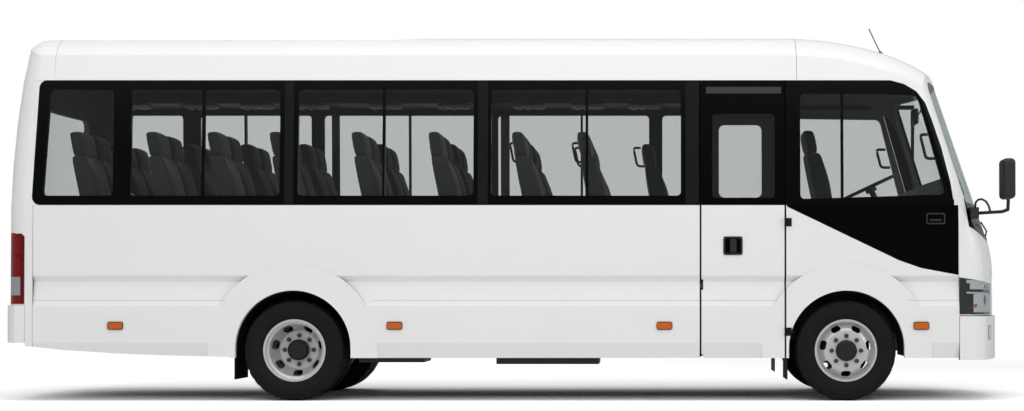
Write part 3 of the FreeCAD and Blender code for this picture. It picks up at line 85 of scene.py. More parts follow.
def blank(name):
    """New material with an empty tree."""
    material = bpy.data.materials.new(name)
    material.use_nodes = True
    material.node_tree.nodes.clear()
    return material, material.node_tree


def close(tree, shader):
    """Ends a material's tree with its shader."""
    add(tree, "ShaderNodeOutputMaterial", Surface=shader.outputs[0])


def seen_white(tree):
    """1 for the rays that show the backdrop to the camera, straight or through glass."""
    rays = add(tree, "ShaderNodeLightPath").outputs
    seen = add(tree, "ShaderNodeMath", {"operation": "MAXIMUM"}, i0=rays["Is Camera Ray"],
               i1=rays["Is Transmission Ray"])
    return seen.outputs[0]


scene = bpy.context.scene
scene.view_settings.view_transform = "Standard"
world = bpy.data.worlds.new("studio")
scene.world = world
world.use_nodes = True
sky = world.node_tree
sky.nodes.clear()
dim = add(sky, "ShaderNodeBackground", Color=linear("#E9EBEC"), Strength=0.5)
white = add(sky, "ShaderNodeBackground", Color=(1, 1, 1, 1), Strength=1.0)
backdrop = add(sky, "ShaderNodeMixShader", i0=seen_white(sky), i1=dim.outputs[0], i2=white.outputs[0])
add(sky, "ShaderNodeOutputWorld", Surface=backdrop.outputs[0])

FLOOR_FADE = (6.0, 11.0)
floor_mesh = bmesh.new()
bmesh.ops.create_grid(floor_mesh, x_segments=2, y_segments=2, size=60)
floor_data = bpy.data.meshes.new("studio_floor")
floor_mesh.to_mesh(floor_data)
studio_floor = bpy.data.objects.new("studio_floor", floor_data)
scene.collection.objects.link(studio_floor)
# Matt, and lifted towards white for the camera, so that only the shadow shows.
material, tree = blank("pale_studio_floor")
matt = add(tree, "ShaderNodeBsdfDiffuse", Color=linear("#E6E6E6"))
lift = add(tree, "ShaderNodeBsdfDiffuse", Color=linear("#D8D8D8"))
lifted = add(tree, "ShaderNodeAddShader", i0=matt.outputs[0], i1=lift.outputs[0])
where = add(tree, "ShaderNodeTexCoord")
away = add(tree, "ShaderNodeVectorMath", {"operation": "LENGTH"}, i0=where.outputs["Object"])
far = add(tree, "ShaderNodeMapRange", {"interpolation_type": "SMOOTHSTEP"}, i0=away.outputs["Value"],
          i1=FLOOR_FADE[0], i2=FLOOR_FADE[1])
bright = add(tree, "ShaderNodeEmission", Color=(1, 1, 1, 1), Strength=1.0)
shown = add(tree, "ShaderNodeMixShader", i0=far.outputs[0], i1=lifted.outputs[0], i2=bright.outputs[0])
close(tree, add(tree, "ShaderNodeMixShader", i0=seen_white(tree), i1=matt.outputs[0], i2=shown.outputs[0]))
floor_data.materials.append(material)


def soft_lamp(name, place, target, size, watts):
    """Rectangular lamp that faces its target."""
    data = bpy.data.lights.new(name, "AREA")
    data.shape = "RECTANGLE"
    data.size, data.size_y = size
    data.energy = watts
    lamp = bpy.data.objects.new(name, data)
    lamp.location = place
    aim = Vector(target) - Vector(place)
    lamp.rotation_euler = aim.to_track_quat("-Z", "Y").to_euler()
    scene.collection.objects.link(lamp)


soft_lamp("overhead_lamp", (0, -3, 9), (0, 0, 1), (12, 6), 365)
soft_lamp("side_lamp", (0, -12, 6.5), (0, 0, 1.2), (17, 4), 440)
soft_lamp("front_lamp", (11, -4, 5), (2, 0, 1.2), (5, 4), 150)
soft_lamp("back_lamp", (-6, 9, 6), (0, 0, 1.2), (8, 4), 230)

# Body panels
# Steel sheet and moulded roof caps in one white gloss coat, with grey moulded
# lining inside. The cab sides carry a black painted shape below the windows.

CABIN_ENDS = (-3.35, 3.2)
CABIN_MIDDLE_Z = 1.4


def masks(tree):
    """Object position, its parts, and 1 where a face looks into the cabin."""
    where = add(tree, "ShaderNodeTexCoord")
    place = where.outputs["Object"]
    x, y, z = add(tree, "ShaderNodeSeparateXYZ", Vector=place).outputs
    nearest = add(tree, "ShaderNodeClamp", Value=x, Min=CABIN_ENDS[0], Max=CABIN_ENDS[1])
    past = add(tree, "ShaderNodeMath", {"operation": "SUBTRACT"}, i0=x, i1=nearest.outputs[0])
    over = add(tree, "ShaderNodeMath", {"operation": "SUBTRACT"}, i0=z, i1=CABIN_MIDDLE_Z)
    out = add(tree, "ShaderNodeCombineXYZ", X=past.outputs[0], Y=y, Z=over.outputs[0])
    facing = add(tree, "ShaderNodeVectorMath", {"operation": "DOT_PRODUCT"},
                 i0=where.outputs["Normal"], i1=out.outputs[0])
    inside = add(tree, "ShaderNodeMath", {"operation": "LESS_THAN"}, i0=facing.outputs["Value"], i1=0.0)
    return place, (x, y, z), inside.outputs[0]


def fine_bump(tree, place, scale, strength, distance=0.001, detail=2.0):
    """Bump from fine noise; scale is in marks a metre."""
    noise = add(tree, "ShaderNodeTexNoise", Vector=place, Scale=scale, Detail=detail)
    bump = add(tree, "ShaderNodeBump", Strength=strength, Distance=distance, Height=noise.outputs[0])
    return bump.outputs[0]


def half_plane(tree, parts, slope, level):
    """1 where z is over a sloped line through the side view."""
    line = add(tree, "ShaderNodeMath", {"operation": "MULTIPLY_ADD"}, i0=parts[0], i1=-slope, i2=parts[2])
    return add(tree, "ShaderNodeMath", {"operation": "GREATER_THAN"}, i0=line.outputs[0], i1=level).outputs[0]


def both(tree, *shares):
    """Product of several shares from 0 to 1."""
    result = shares[0]
    for share in shares[1:]:
        result = add(tree, "ShaderNodeMath", {"operation": "MULTIPLY"}, i0=result, i1=share).outputs[0]
    return result


def between(tree, value, low, high):
    """1 where a value lies between two others."""
    over = add(tree, "ShaderNodeMath", {"operation": "GREATER_THAN"}, i0=value, i1=low)
    under = add(tree, "ShaderNodeMath", {"operation": "LESS_THAN"}, i0=value, i1=high)
    return both(tree, over.outputs[0], under.outputs[0])


BELT = 1.413
CAB_PANEL = ((-0.4796, 2.3756), (-0.348, 2.0019), (-0.1875, 1.5209))
CAB_PANEL_ENDS = (2.03, 3.268)
SCREEN_CORNER = ((-6.964, 24.576), (-0.49, 2.9015))
SCREEN_CORNER_TOP = 1.463
HANDLE_CUP = ((1.572, 1.707), (1.055, 1.185))
EDGE_RUBBER = 0.03
ROOF_EDGE = 2.325
SEAM_DARKNESS = 0.8


def coach_paint(name, black_from=None, edges=(), seams=(), joints=()):
    """White two-pack gloss, which reflects its surroundings softly.

    black_from paints it black from that height up, and the handle cup too.
    edges are (rear, front) limits past which the edge rubber starts, seams are
    roof joints as (slope, level, thickness) of a line in the side view, and
    joints are panel gaps as (rear, front, low, high, darkness).
    """
    material, tree = blank(name)
    place, parts, inside = masks(tree)
    x, z = parts[0], parts[2]
    shade = add(tree, "ShaderNodeTexNoise", Vector=place, Scale=0.8, Detail=1.0)
    white_mix = add(tree, "ShaderNodeMix", {"data_type": "RGBA"}, i0=shade.outputs[0],
                    i6=linear("#F4F4F2"), i7=linear("#EFEFED"))
    lines = [half_plane(tree, parts, slope, level) for slope, level in CAB_PANEL]
    below = add(tree, "ShaderNodeMath", {"operation": "LESS_THAN"}, i0=z, i1=BELT + 0.001)
    cab = both(tree, *lines, below.outputs[0], between(tree, x, *CAB_PANEL_ENDS))
    lines = [half_plane(tree, parts, slope, level) for slope, level in SCREEN_CORNER]
    below = add(tree, "ShaderNodeMath", {"operation": "LESS_THAN"}, i0=z, i1=SCREEN_CORNER_TOP)
    dark = [cab, both(tree, *lines, below.outputs[0])]
    if black_from is not None:
        over = add(tree, "ShaderNodeMath", {"operation": "GREATER_THAN"}, i0=z, i1=black_from)
        cup = both(tree, between(tree, x, *HANDLE_CUP[0]), between(tree, z, *HANDLE_CUP[1]))
        dark += [over.outputs[0], cup]
    for low, high in edges:
        past = add(tree, "ShaderNodeMath", {"operation": "SUBTRACT"}, i0=1.0, i1=between(tree, x, low, high))
        near = between(tree, x, low - EDGE_RUBBER, high + EDGE_RUBBER)
        dark.append(both(tree, past.outputs[0], near))
    for slope, level, thick in seams:
        past = half_plane(tree, parts, slope, level + thick)
        short = add(tree, "ShaderNodeMath", {"operation": "SUBTRACT"}, i0=1.0, i1=past)
        above = half_plane(tree, parts, 0.0, ROOF_EDGE)
        line = half_plane(tree, parts, slope, level)
        dark.append(both(tree, line, above, short.outputs[0], SEAM_DARKNESS))
    for rear, front, low, high, darkness in joints:
        dark.append(both(tree, between(tree, x, rear, front), between(tree, z, low, high), darkness))
    black = dark[0]
    for share in dark[1:]:
        black = add(tree, "ShaderNodeMath", {"operation": "MAXIMUM"}, i0=black, i1=share).outputs[0]
    painted = add(tree, "ShaderNodeMix", {"data_type": "RGBA"}, i0=black,
                  i6=white_mix.outputs[2], i7=linear("#050506"))
    lined = add(tree, "ShaderNodeMix", {"data_type": "RGBA"}, i0=inside,
                i6=painted.outputs[2], i7=linear("#66686A"))
    # The lining is rough and the black part reflects less, so both read as other stuff than the gloss.
    rough = add(tree, "ShaderNodeMath", {"operation": "MULTIPLY_ADD"}, i0=inside, i1=0.45, i2=0.22)
    sheen = add(tree, "ShaderNodeMath", {"operation": "MULTIPLY_ADD"}, i0=black, i1=-0.26, i2=0.3)
    close(tree, add(tree, "ShaderNodeBsdfPrincipled", IOR=1.5, Base_Color=lined.outputs[2],
                    Roughness=rough.outputs[0], Specular_IOR_Level=sheen.outputs[0],
                    Normal=fine_bump(tree, place, 140, 0.02)))
    return material


def dress(material, *names):
    """Gives CAD nodes a material."""
    for name in names:
        mesh = nodes[name].data
        if not mesh.materials:
            mesh.materials.append(material)
        for i in range(len(mesh.materials)):
            mesh.materials[i] = material


SKIRT_JOINT = (0.7245, 0.7290, 0.35)
SKIRT_JOINTS = tuple(ends + SKIRT_JOINT for ends in ((-3.405, -2.02), (-0.95, 1.96), (2.90, 3.268)))
REAR_JOINT = (-3.4145, -3.4095, 0.40, BELT, 0.45)
BUMPER_JOINTS = ((3.20, 3.276, 0.20, 0.64, 0.85), (-3.471, -3.466, 0.38, 0.69, 0.6))
CAP_SEAMS = ((-170.0, 359.72, 0.6), (-170.0, -553.71, 0.51))
white_paint = coach_paint("white_gloss_coach_paint")
dress(white_paint, "roof_panel", "front_pillars", "front_panel")
dress(coach_paint("white_gloss_left_side_paint", joints=SKIRT_JOINTS), "side_wall_left")
dress(coach_paint("white_gloss_rear_paint", joints=(REAR_JOINT,)), "rear_panel")
dress(coach_paint("white_gloss_bumper_paint", joints=BUMPER_JOINTS), "front_bumper", "rear_bumper")
dress(coach_paint("white_gloss_roof_cap_paint", seams=CAP_SEAMS), "roof_front_cap", "roof_rear_cap")
dress(coach_paint("white_gloss_side_paint", edges=((2.0245, 4.0), (-4.0, 1.3995)), joints=SKIRT_JOINTS),
      "side_wall_right")
dress(coach_paint("white_gloss_passenger_door_paint", BELT, edges=((1.4125, 2.0115),),
                  joints=SKIRT_JOINTS[1:2]), "passenger_door")
dress(coach_paint("white_gloss_driver_door_paint", BELT, edges=((2.1325, 3.1895),)), "driver_door")

# Window bands
# Pressed frames round the side glass, in black gloss outside, with a charcoal
# moulded lining inside.


def solid_finish(name, colour, roughness, bump=0.1, marks=400, metallic=0.0, shine=0.5, worn=None):
    """One finish with faint mottling, so that large plain pieces don't look flat."""
    material, tree = blank(name)
    place = add(tree, "ShaderNodeTexCoord").outputs["Object"]
    patches = add(tree, "ShaderNodeTexNoise", Vector=place, Scale=9.0, Detail=3.0)
    spread = add(tree, "ShaderNodeMapRange", i0=patches.outputs[0], i1=0.3, i2=0.7,
                 i3=max(roughness - 0.05, 0.02), i4=min(roughness + 0.06, 1.0))
    tint = add(tree, "ShaderNodeMix", {"data_type": "RGBA"}, i0=patches.outputs[0],
               i6=linear(colour), i7=linear(worn or colour))
    close(tree, add(tree, "ShaderNodeBsdfPrincipled", Metallic=metallic, Specular_IOR_Level=shine,
                    Base_Color=tint.outputs[2], Roughness=spread.outputs[0],
                    Normal=fine_bump(tree, place, marks, bump)))
    return material


def band_finish(name):
    """Black gloss outside that mirrors little, and duller charcoal inside."""
    material, tree = blank(name)
    place, parts, inside = masks(tree)
    tint = add(tree, "ShaderNodeMix", {"data_type": "RGBA"}, i0=inside,
               i6=linear("#070808"), i7=linear("#17191A"))
    rough = add(tree, "ShaderNodeMath", {"operation": "MULTIPLY_ADD"}, i0=inside, i1=0.5, i2=0.16)
    close(tree, add(tree, "ShaderNodeBsdfPrincipled", Specular_IOR_Level=0.05, Base_Color=tint.outputs[2],
                    Roughness=rough.outputs[0], Normal=fine_bump(tree, place, 160, 0.02)))
    return material


dress(band_finish("black_gloss_band_paint"), "window_band_right", "window_band_left")

# Glass
# Toughened panes with a grey tint, bonded into their frames, and a lighter
# laminated windscreen with a black baked border.

FRIT_FOOT = 1.44
FRIT_SIDE = 0.983
FRIT_LEAN = 0.066


def pane_glass(name, tint, roughness=0.02, glare=(0.45, 0.02), frit=False):
    """Clear straight on and brighter at a glancing angle; frit paints a black border."""
    material, tree = blank(name)
    clear = add(tree, "ShaderNodeBsdfTransparent", Color=linear(tint))
    gloss = add(tree, "ShaderNodeBsdfGlossy", Color=(1, 1, 1, 1), Roughness=roughness)
    glance = add(tree, "ShaderNodeLayerWeight", Blend=0.5)
    steep = add(tree, "ShaderNodeMath", {"operation": "POWER"}, i0=glance.outputs[1], i1=5.0)
    share = add(tree, "ShaderNodeMath", {"operation": "MULTIPLY_ADD"}, i0=steep.outputs[0],
                i1=glare[0], i2=glare[1])
    pane = add(tree, "ShaderNodeMixShader", i0=share.outputs[0], i1=clear.outputs[0], i2=gloss.outputs[0])
    if frit:
        where = add(tree, "ShaderNodeTexCoord")
        x, y, z = add(tree, "ShaderNodeSeparateXYZ", Vector=where.outputs["Object"]).outputs
        out = add(tree, "ShaderNodeMath", {"operation": "ABSOLUTE"}, i0=y)
        lean = add(tree, "ShaderNodeMath", {"operation": "MULTIPLY_ADD"}, i0=z, i1=FRIT_LEAN,
                   i2=out.outputs[0])
        low = add(tree, "ShaderNodeMath", {"operation": "LESS_THAN"}, i0=z, i1=FRIT_FOOT)
        edge = add(tree, "ShaderNodeMath", {"operation": "GREATER_THAN"}, i0=lean.outputs[0], i1=FRIT_SIDE)
        border = add(tree, "ShaderNodeMath", {"operation": "MAXIMUM"}, i0=low.outputs[0], i1=edge.outputs[0])
        baked = add(tree, "ShaderNodeBsdfPrincipled", Base_Color=linear("#08090A"), Roughness=0.25,
                    Specular_IOR_Level=0.2)
        pane = add(tree, "ShaderNodeMixShader", i0=border.outputs[0], i1=pane.outputs[0], i2=baked.outputs[0])
    close(tree, pane)
    return material


side_glass = pane_glass("grey_tinted_toughened_glass", "#EAEBEB")
dress(side_glass, "side_windows", "passenger_door_glass", "driver_door_glass", "rear_window")
dress(pane_glass("laminated_windscreen_glass", "#E9EDEC", frit=True), "windscreen")

# Pillar strips
# Pressed aluminium strips in dark grey, bonded over the joints of the window
# bands between the windows.

WALL_Y = 1.0
BAND_TOP = 2.32
BAND_LEAN = 0.038
STRIP_BED = 0.002
# The anodised strips have a dull sheen, and the rubber has next to none.
sash_grey = solid_finish("dark_grey_anodised_sash", "#121314", 0.45, 0.03, shine=0.1)
seal_black = solid_finish("black_window_rubber", "#0D0E0E", 0.6, 0.08, shine=0.15)


def new_piece(name, body, material, bm, smooth=True, outward=True, triangles=False):
    """Makes the object of a finished mesh, and lets it ride.

    outward turns the faces to look out of the piece, and triangles then cuts
    them, for outlines that bend inwards.
    """
    if outward:
        bmesh.ops.recalc_face_normals(bm, faces=bm.faces[:])
    if triangles:
        bmesh.ops.triangulate(bm, faces=bm.faces[:])
    data = bpy.data.meshes.new(name)
    bm.to_mesh(data)
    bm.free()
    piece = bpy.data.objects.new(name, data)
    scene.collection.objects.link(piece)
    data.materials.clear()
    data.materials.append(material)
    for polygon in data.polygons:
        polygon.use_smooth = smooth
    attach(piece, body)
    return piece


def add_block(bm, low, high, bevel, segments=2):
    """Adds a box from corner to corner, with its edges rounded."""
    made = bmesh.ops.create_cube(bm, size=1)["verts"]
    low, high = Vector(low), Vector(high)
    bmesh.ops.scale(bm, vec=high - low, verts=made)
    bmesh.ops.translate(bm, vec=(low + high) / 2, verts=made)
    edges = list({e for v in made for e in v.link_edges})
    bmesh.ops.bevel(bm, geom=edges, offset=bevel, segments=segments, profile=0.5,
                    affect="EDGES", material=-1)


def band_y(z):
    """Outer face of the window band at a height."""
    return WALL_Y - BAND_LEAN * (z - BELT) / (BAND_TOP - BELT)


def strip_on_band(bm, x_rear, x_front, z_low, z_high, side, thick):
    """Flat strip that leans with the window band."""
    made = bmesh.ops.create_cube(bm, size=1)["verts"]
    for v in made:
        z = z_low if v.co.z < 0 else z_high
        out = 0.0 if v.co.y > 0 else thick
        v.co.x = x_rear if v.co.x < 0 else x_front
        v.co.y = side * (band_y(z) - STRIP_BED + out)
        v.co.z = z
    edges = list({e for v in made for e in v.link_edges})
    bmesh.ops.bevel(bm, geom=edges, offset=0.001, segments=1, profile=0.5, affect="EDGES", material=-1)


SIDES = ((-1, "right"), (1, "left"))
PILLARS = ((-1.601, -1.535), (-0.204, -0.131), (1.297, 1.392))
PILLAR_ENDS = (1.425, 2.312)
PILLAR_GAUGE = 0.005
for side, label in SIDES:
    bm = bmesh.new()
    for x_rear, x_front in PILLARS:
        strip_on_band(bm, x_rear, x_front, *PILLAR_ENDS, side, PILLAR_GAUGE)
    new_piece("pillar_strips_" + label, "body", sash_grey, bm, smooth=False)

# Band corners
# Small moulded infills in body white that close the rounded rear corners of
# the window bands, bonded to the rear panel.

INFILL_FACES = (0.001, 0.040)
EDGE_SLOPE = (0.0517, 0.9987)


def skin(bm, rings, closed=False):
    """Joins rings of vertices in turn, and caps the ends or closes the loop."""
    count = len(rings[0])
    for first, second in zip(rings, rings[1:] + (rings[:1] if closed else [])):
        for k in range(count):
            bm.faces.new((first[k], first[(k + 1) % count], second[(k + 1) % count], second[k]))
    if not closed:
        bm.faces.new(rings[0])
        bm.faces.new(rings[-1])


def corner_infill(bm, corner, along, radius, side, back, steps=8):
    """Solid between the arc of a corner, whose edges run along, and the points behind it."""
    corner = Vector(corner)
    first, second = Vector(along[0]).normalized(), Vector(along[1]).normalized()
    half = first.angle(second) / 2
    centre = corner + (first + second).normalized() * radius / math.sin(half)
    reach = radius / math.tan(half)
    start, end = corner + first * reach - centre, corner + second * reach - centre
    sweep = math.atan2(start.x * end.y - start.y * end.x, start.dot(end))
    points = [Vector(point) for point in back]
    for i in range(steps + 1):
        turn = sweep * i / steps
        points.append(centre + Matrix.Rotation(turn, 2) @ start)
    rings = [[bm.verts.new((x, side * (band_y(z) - inset), z)) for x, z in points] for inset in INFILL_FACES]
    skin(bm, rings)


for side, label in SIDES:
    bm = bmesh.new()
    corner_infill(bm, (-3.424, 1.414), (EDGE_SLOPE, (1, 0)), 0.062, side, ((-3.424, 1.414),))
    corner_infill(bm, (-3.377, 2.319), ((-EDGE_SLOPE[0], -EDGE_SLOPE[1]), (1, 0)), 0.058, side,
                  ((-3.4105, 2.319), (-3.4105, 1.690)))
    new_piece("band_corner_infills_" + label, "body", white_paint, bm, smooth=False, triangles=True)

# Door trim
# A folded header strip over the door window, a moulded black surround inside
# its pane, and hollow rubber seals behind the gaps round both doors.


def rounded_loop(low, high, radius, steps=5):
    """Corner points of a rounded rectangle in the side view, in order."""
    points = []
    for cx, cz, start in ((high[0] - radius, high[1] - radius, 0), (low[0] + radius, high[1] - radius, 90),
                          (low[0] + radius, low[1] + radius, 180), (high[0] - radius, low[1] + radius, 270)):
        for i in range(steps + 1):
            turn = math.radians(start + 90 * i / steps)
            points.append((cx + radius * math.cos(turn), cz + radius * math.sin(turn)))
    return points


def add_surround(bm, outer, inner, side, out, thick, flat=False):
    """Frame as deep as thick between two outlines, whose face stands out from the band or the flat wall."""
    rings = []
    for outline, depth in ((outer, 0.0), (inner, 0.0), (inner, thick), (outer, thick)):
        rings.append([bm.verts.new((x, side * ((WALL_Y if flat else band_y(z)) + out - depth), z))
                      for x, z in outline])
    skin(bm, rings, closed=True)


bm = bmesh.new()
strip_on_band(bm, 1.446, 1.990, 2.223, 2.271, -1, 0.006)
# Satin, and a little lighter than the black round it.
header_grey = solid_finish("satin_grey_header_strip", "#2E3031", 0.4, 0.03, shine=0.3)
new_piece("door_header_strip", "passenger_door", header_grey, bm, smooth=False)
bm = bmesh.new()
add_surround(bm, rounded_loop((1.452, 1.440), (1.980, 2.150), 0.05),
             rounded_loop((1.540, 1.470), (1.850, 1.998), 0.04), -1, -0.047, 0.014)
new_piece("door_window_surround", "passenger_door", seal_black, bm, smooth=False)

SEAL_WIDTH = 0.026
SEAL_TOP = 2.318
SEAL_Y = (0.940, 0.952)
SEAL_INSET = (0.049, 0.061)
SEAL_HEAD = (2.296, 2.332)


def seal_strip(bm, x_rear, x_front, z_low, z_high, side):
    """Rubber strip just inside the wall, upright below the belt and leaning above it."""
    if z_low < BELT:
        low_y, high_y = sorted(side * y for y in SEAL_Y)
        add_block(bm, (x_rear, low_y, z_low), (x_front, high_y, min(z_high, BELT)), 0.003)
    made = bmesh.ops.create_cube(bm, size=1)["verts"]
    for v in made:
        v.co.x = x_rear if v.co.x < 0 else x_front
        v.co.z = max(z_low, BELT) if v.co.z < 0 else z_high
        v.co.y = side * (band_y(v.co.z) - SEAL_INSET[0 if v.co.y > 0 else 1])


for name, side, uprights, header_x in (
    ("passenger_door_seals", -1, ((1.392, 0.32), (2.004, 0.32)), (1.395, 2.028)),
    ("driver_door_seals", 1, ((2.112, 1.02), (3.182, 1.05)), (2.115, 3.206)),
):
    bm = bmesh.new()
    for x, foot in uprights:
        seal_strip(bm, x, x + SEAL_WIDTH, foot, SEAL_TOP, side)
    seal_strip(bm, *header_x, *SEAL_HEAD, side)
    new_piece(name, "body", seal_black, bm, smooth=False)

# Door handle
# Black moulded bezel let into the door skin and screwed from behind, with an
# upright pull flap.

bm = bmesh.new()
add_surround(bm, rounded_loop((1.570, 1.053), (1.709, 1.187), 0.02),
             rounded_loop((1.583, 1.066), (1.696, 1.174), 0.014), -1, 0.006, 0.006, flat=True)
add_block(bm, (1.617, -1.003, 1.070), (1.667, -0.986, 1.168), 0.006, 3)
# A fine grain softens the light on its edges.
handle_black = solid_finish("black_door_handle_plastic", "#101112", 0.35, 0.08, 600)
new_piece("door_handle_flap", "passenger_door", handle_black, bm, smooth=False)

# Cab side pocket
# Small black moulded pocket let into the painted cab side under its window,
# and clipped there.

bm = bmesh.new()
add_surround(bm, rounded_loop((3.034, 1.275), (3.172, 1.357), 0.016),
             rounded_loop((3.044, 1.285), (3.162, 1.347), 0.010), -1, 0.003, 0.006, flat=True)
add_block(bm, (3.060, -1.0018, 1.298), (3.146, -0.996, 1.312), 0.0015, 2)
# Satin, so that it shows against the black gloss round it.
pocket_black = solid_finish("satin_black_cab_pocket", "#202224", 0.3, 0.05, 600)
new_piece("cab_side_pocket", "body", pocket_black, bm, smooth=False)

# Interior
# Vinyl floor, grained dashboard and racks, a leather-covered steering wheel,
# and powder coated rails and seat frames.

# The grain keeps vinyl and mouldings dull, and powder coating leaves a smooth, faint shine.
dress(solid_finish("grey_vinyl_floor", "#3C3E40", 0.55, 0.15, 900, worn="#47494A"), "floor")
dress(solid_finish("charcoal_moulded_dashboard", "#26282A", 0.5, 0.12, 700), "dashboard", "luggage_racks")
dress(solid_finish("black_wheel_rim_leather", "#17181A", 0.42, 0.2, 500), "steering_wheel")
dress(solid_finish("grey_powder_coated_rail", "#55585A", 0.35, 0.03), "handrails")
dress(solid_finish("black_powder_coated_frame", "#1C1D1E", 0.5, 0.08), "seat_frames")

# Seats
# Charcoal woven cloth over foam on a steel frame: a cushion, a back with
# side bolsters, and a head pad, each stitched to its own shape.

SEAT_RAKE = math.tan(math.radians(12))
BACK_GAUGE = 0.09
BACK_FOOT = 0.11
HEAD_PAD = 0.168
HEAD_NARROWER = 0.9
CUSHION_LENGTH = 0.315
CUSHION_DROP = (0.108, 0.012)
PAD_GAP = 0.004
THREADS = 52.0
# Woven cloth is matt, and its nap lightens the pads towards their edges.
cloth, tree = blank("charcoal_woven_seat_cloth")
place = add(tree, "ShaderNodeTexCoord").outputs["Object"]
# Threads are 6 mm apart here, coarser than real ones, so that they show.
warp, weft = (add(tree, "ShaderNodeTexWave", {"bands_direction": way}, Vector=place, Scale=THREADS,
                  Distortion=0.4).outputs[1] for way in ("X", "Z"))
weave = add(tree, "ShaderNodeMath", {"operation": "MULTIPLY"}, i0=warp, i1=weft)
patches = add(tree, "ShaderNodeTexNoise", Vector=place, Scale=30.0, Detail=4.0)
mixed = add(tree, "ShaderNodeMath", {"operation": "MULTIPLY_ADD"}, i0=weave.outputs[0], i1=0.5,
            i2=patches.outputs[0])
tint = add(tree, "ShaderNodeMix", {"data_type": "RGBA"}, i0=mixed.outputs[0],
           i6=linear("#17191B"), i7=linear("#282C2F"))
relief = add(tree, "ShaderNodeBump", Strength=0.25, Distance=0.002, Height=weave.outputs[0])
close(tree, add(tree, "ShaderNodeBsdfPrincipled", Base_Color=tint.outputs[2], Roughness=0.85,
                Sheen_Weight=0.35, Sheen_Roughness=0.4, Normal=relief.outputs[0]))


def gather(bm, part):
    """Adds a finished part's mesh to a larger one."""
    data = bpy.data.meshes.new("part")
    part.to_mesh(data)
    part.free()
    bm.from_mesh(data)
    bpy.data.meshes.remove(data)


def pad(bm, low, high, crown, lean=0.0, lean_from=0.0, bolster=0.0, cuts=6, belly=0.0):
    """Adds a crowned pad.

    lean moves it rearwards with height, bolster raises its front sides, and
    belly fills the small of the back.
    """
    part = bmesh.new()
    bmesh.ops.create_cube(part, size=2)
    bmesh.ops.subdivide_edges(part, edges=part.edges[:], cuts=cuts, use_grid_fill=True)
    low, high = Vector(low), Vector(high)
    middle, half = (low + high) / 2, (high - low) / 2
    for v in part.verts:
        u = v.co.copy()
        swell = Vector([crown * u[i] * (1 - u[(i + 1) % 3] ** 4) * (1 - u[(i + 2) % 3] ** 4)
                        for i in range(3)])
        spot = Vector([half[i] * u[i] for i in range(3)]) + swell
        if belly and u.x > 0:
            spot.x += belly * u.x * (1 - u.y ** 4) * math.sin(math.pi * ((1 - u.z) / 2) ** 0.7)
        if bolster and u.x > 0:
            edge = max(0.0, abs(u.y) - 0.55) / 0.45
            spot.x += bolster * edge * edge * (3 - 2 * edge) * u.x
        spot += middle
        spot.x -= lean * (spot.z - lean_from)
        v.co = spot
    gather(bm, part)


def seat_back(bm, head_x, y, width, top_z, seat_z):
    """Back with bolsters under a separate head pad."""
    base_x = head_x + (top_z - seat_z) * SEAT_RAKE
    joint = top_z - HEAD_PAD
    half = width / 2
    head_half = half * HEAD_NARROWER
    pad(bm, (base_x, y - half, seat_z - BACK_FOOT), (base_x + BACK_GAUGE, y + half, joint - PAD_GAP), 0.012,
        SEAT_RAKE, seat_z, 0.03, belly=0.045)
    pad(bm, (base_x + 0.004, y - head_half, joint + PAD_GAP),
        (base_x + BACK_GAUGE - 0.012, y + head_half, top_z), 0.016, SEAT_RAKE * 0.9, seat_z)


def seat_cushion(bm, head_x, y, width, top_z, seat_z):
    """Cushion in front of a back, resting on its frame."""
    back_x = head_x + (top_z - seat_z) * SEAT_RAKE + BACK_GAUGE
    half = width / 2
    foot, top = (seat_z - drop for drop in CUSHION_DROP)
    pad(bm, (back_x + PAD_GAP, y - half, foot), (back_x + CUSHION_LENGTH, y + half, top), 0.012)


def finish_pads(name, bm):
    """Makes stitched pads of a gathered mesh."""
    piece = new_piece(name, "body", cloth, bm)
    round_off = piece.modifiers.new("round", "SUBSURF")
    round_off.levels = round_off.render_levels = 1
    return piece


SEAT_ROWS = (-3.199, -2.646, -2.199, -1.747, -1.151, -0.590, 0.018, 0.494)
FIRST_LEFT_ROW = 0.956
LEFT_ROWS = SEAT_ROWS + (FIRST_LEFT_ROW,)
SEAT_SPOTS = (0.734, 0.344)
PASSENGER_SEAT = (0.386, 1.945, 1.265)
DRIVER_SEAT = (2.240, 0.57, 0.44, 2.070, 1.390)
for side, label in SIDES:
    backs, seats = bmesh.new(), bmesh.new()
    for head_x in SEAT_ROWS if side < 0 else LEFT_ROWS:
        for spot in SEAT_SPOTS:
            seat_back(backs, head_x, side * spot, *PASSENGER_SEAT)
            seat_cushion(seats, head_x, side * spot, *PASSENGER_SEAT)
    piece = finish_pads("passenger_seat_backs_" + label, backs)
    finish_pads("passenger_seat_cushions_" + label, seats)
    if side < 0:
        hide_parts("seats")
backs, seats = bmesh.new(), bmesh.new()
seat_back(backs, *DRIVER_SEAT)
seat_cushion(seats, *DRIVER_SEAT)
finish_pads("driver_seat_back", backs)
finish_pads("driver_seat_cushion", seats)

# Grab handles
# Steel tube with a black plastic skin, bent to loops and screwed to the inner
# edge of each seat back and to the screen pillars.


def add_tube(bm, points, radius, sides=8):
    """Sweeps a round tube along a path."""
    spots = [Vector(p) for p in points]
    rings = []
    for i, spot in enumerate(spots):
        turn = (spots[min(i + 1, len(spots) - 1)] - spots[max(i - 1, 0)]).to_track_quat("Z", "Y")
        rings.append([bm.verts.new(spot + turn @ Vector((radius * math.cos(2 * math.pi * k / sides),
                                                         radius * math.sin(2 * math.pi * k / sides), 0)))
                      for k in range(sides)])
    skin(bm, rings)


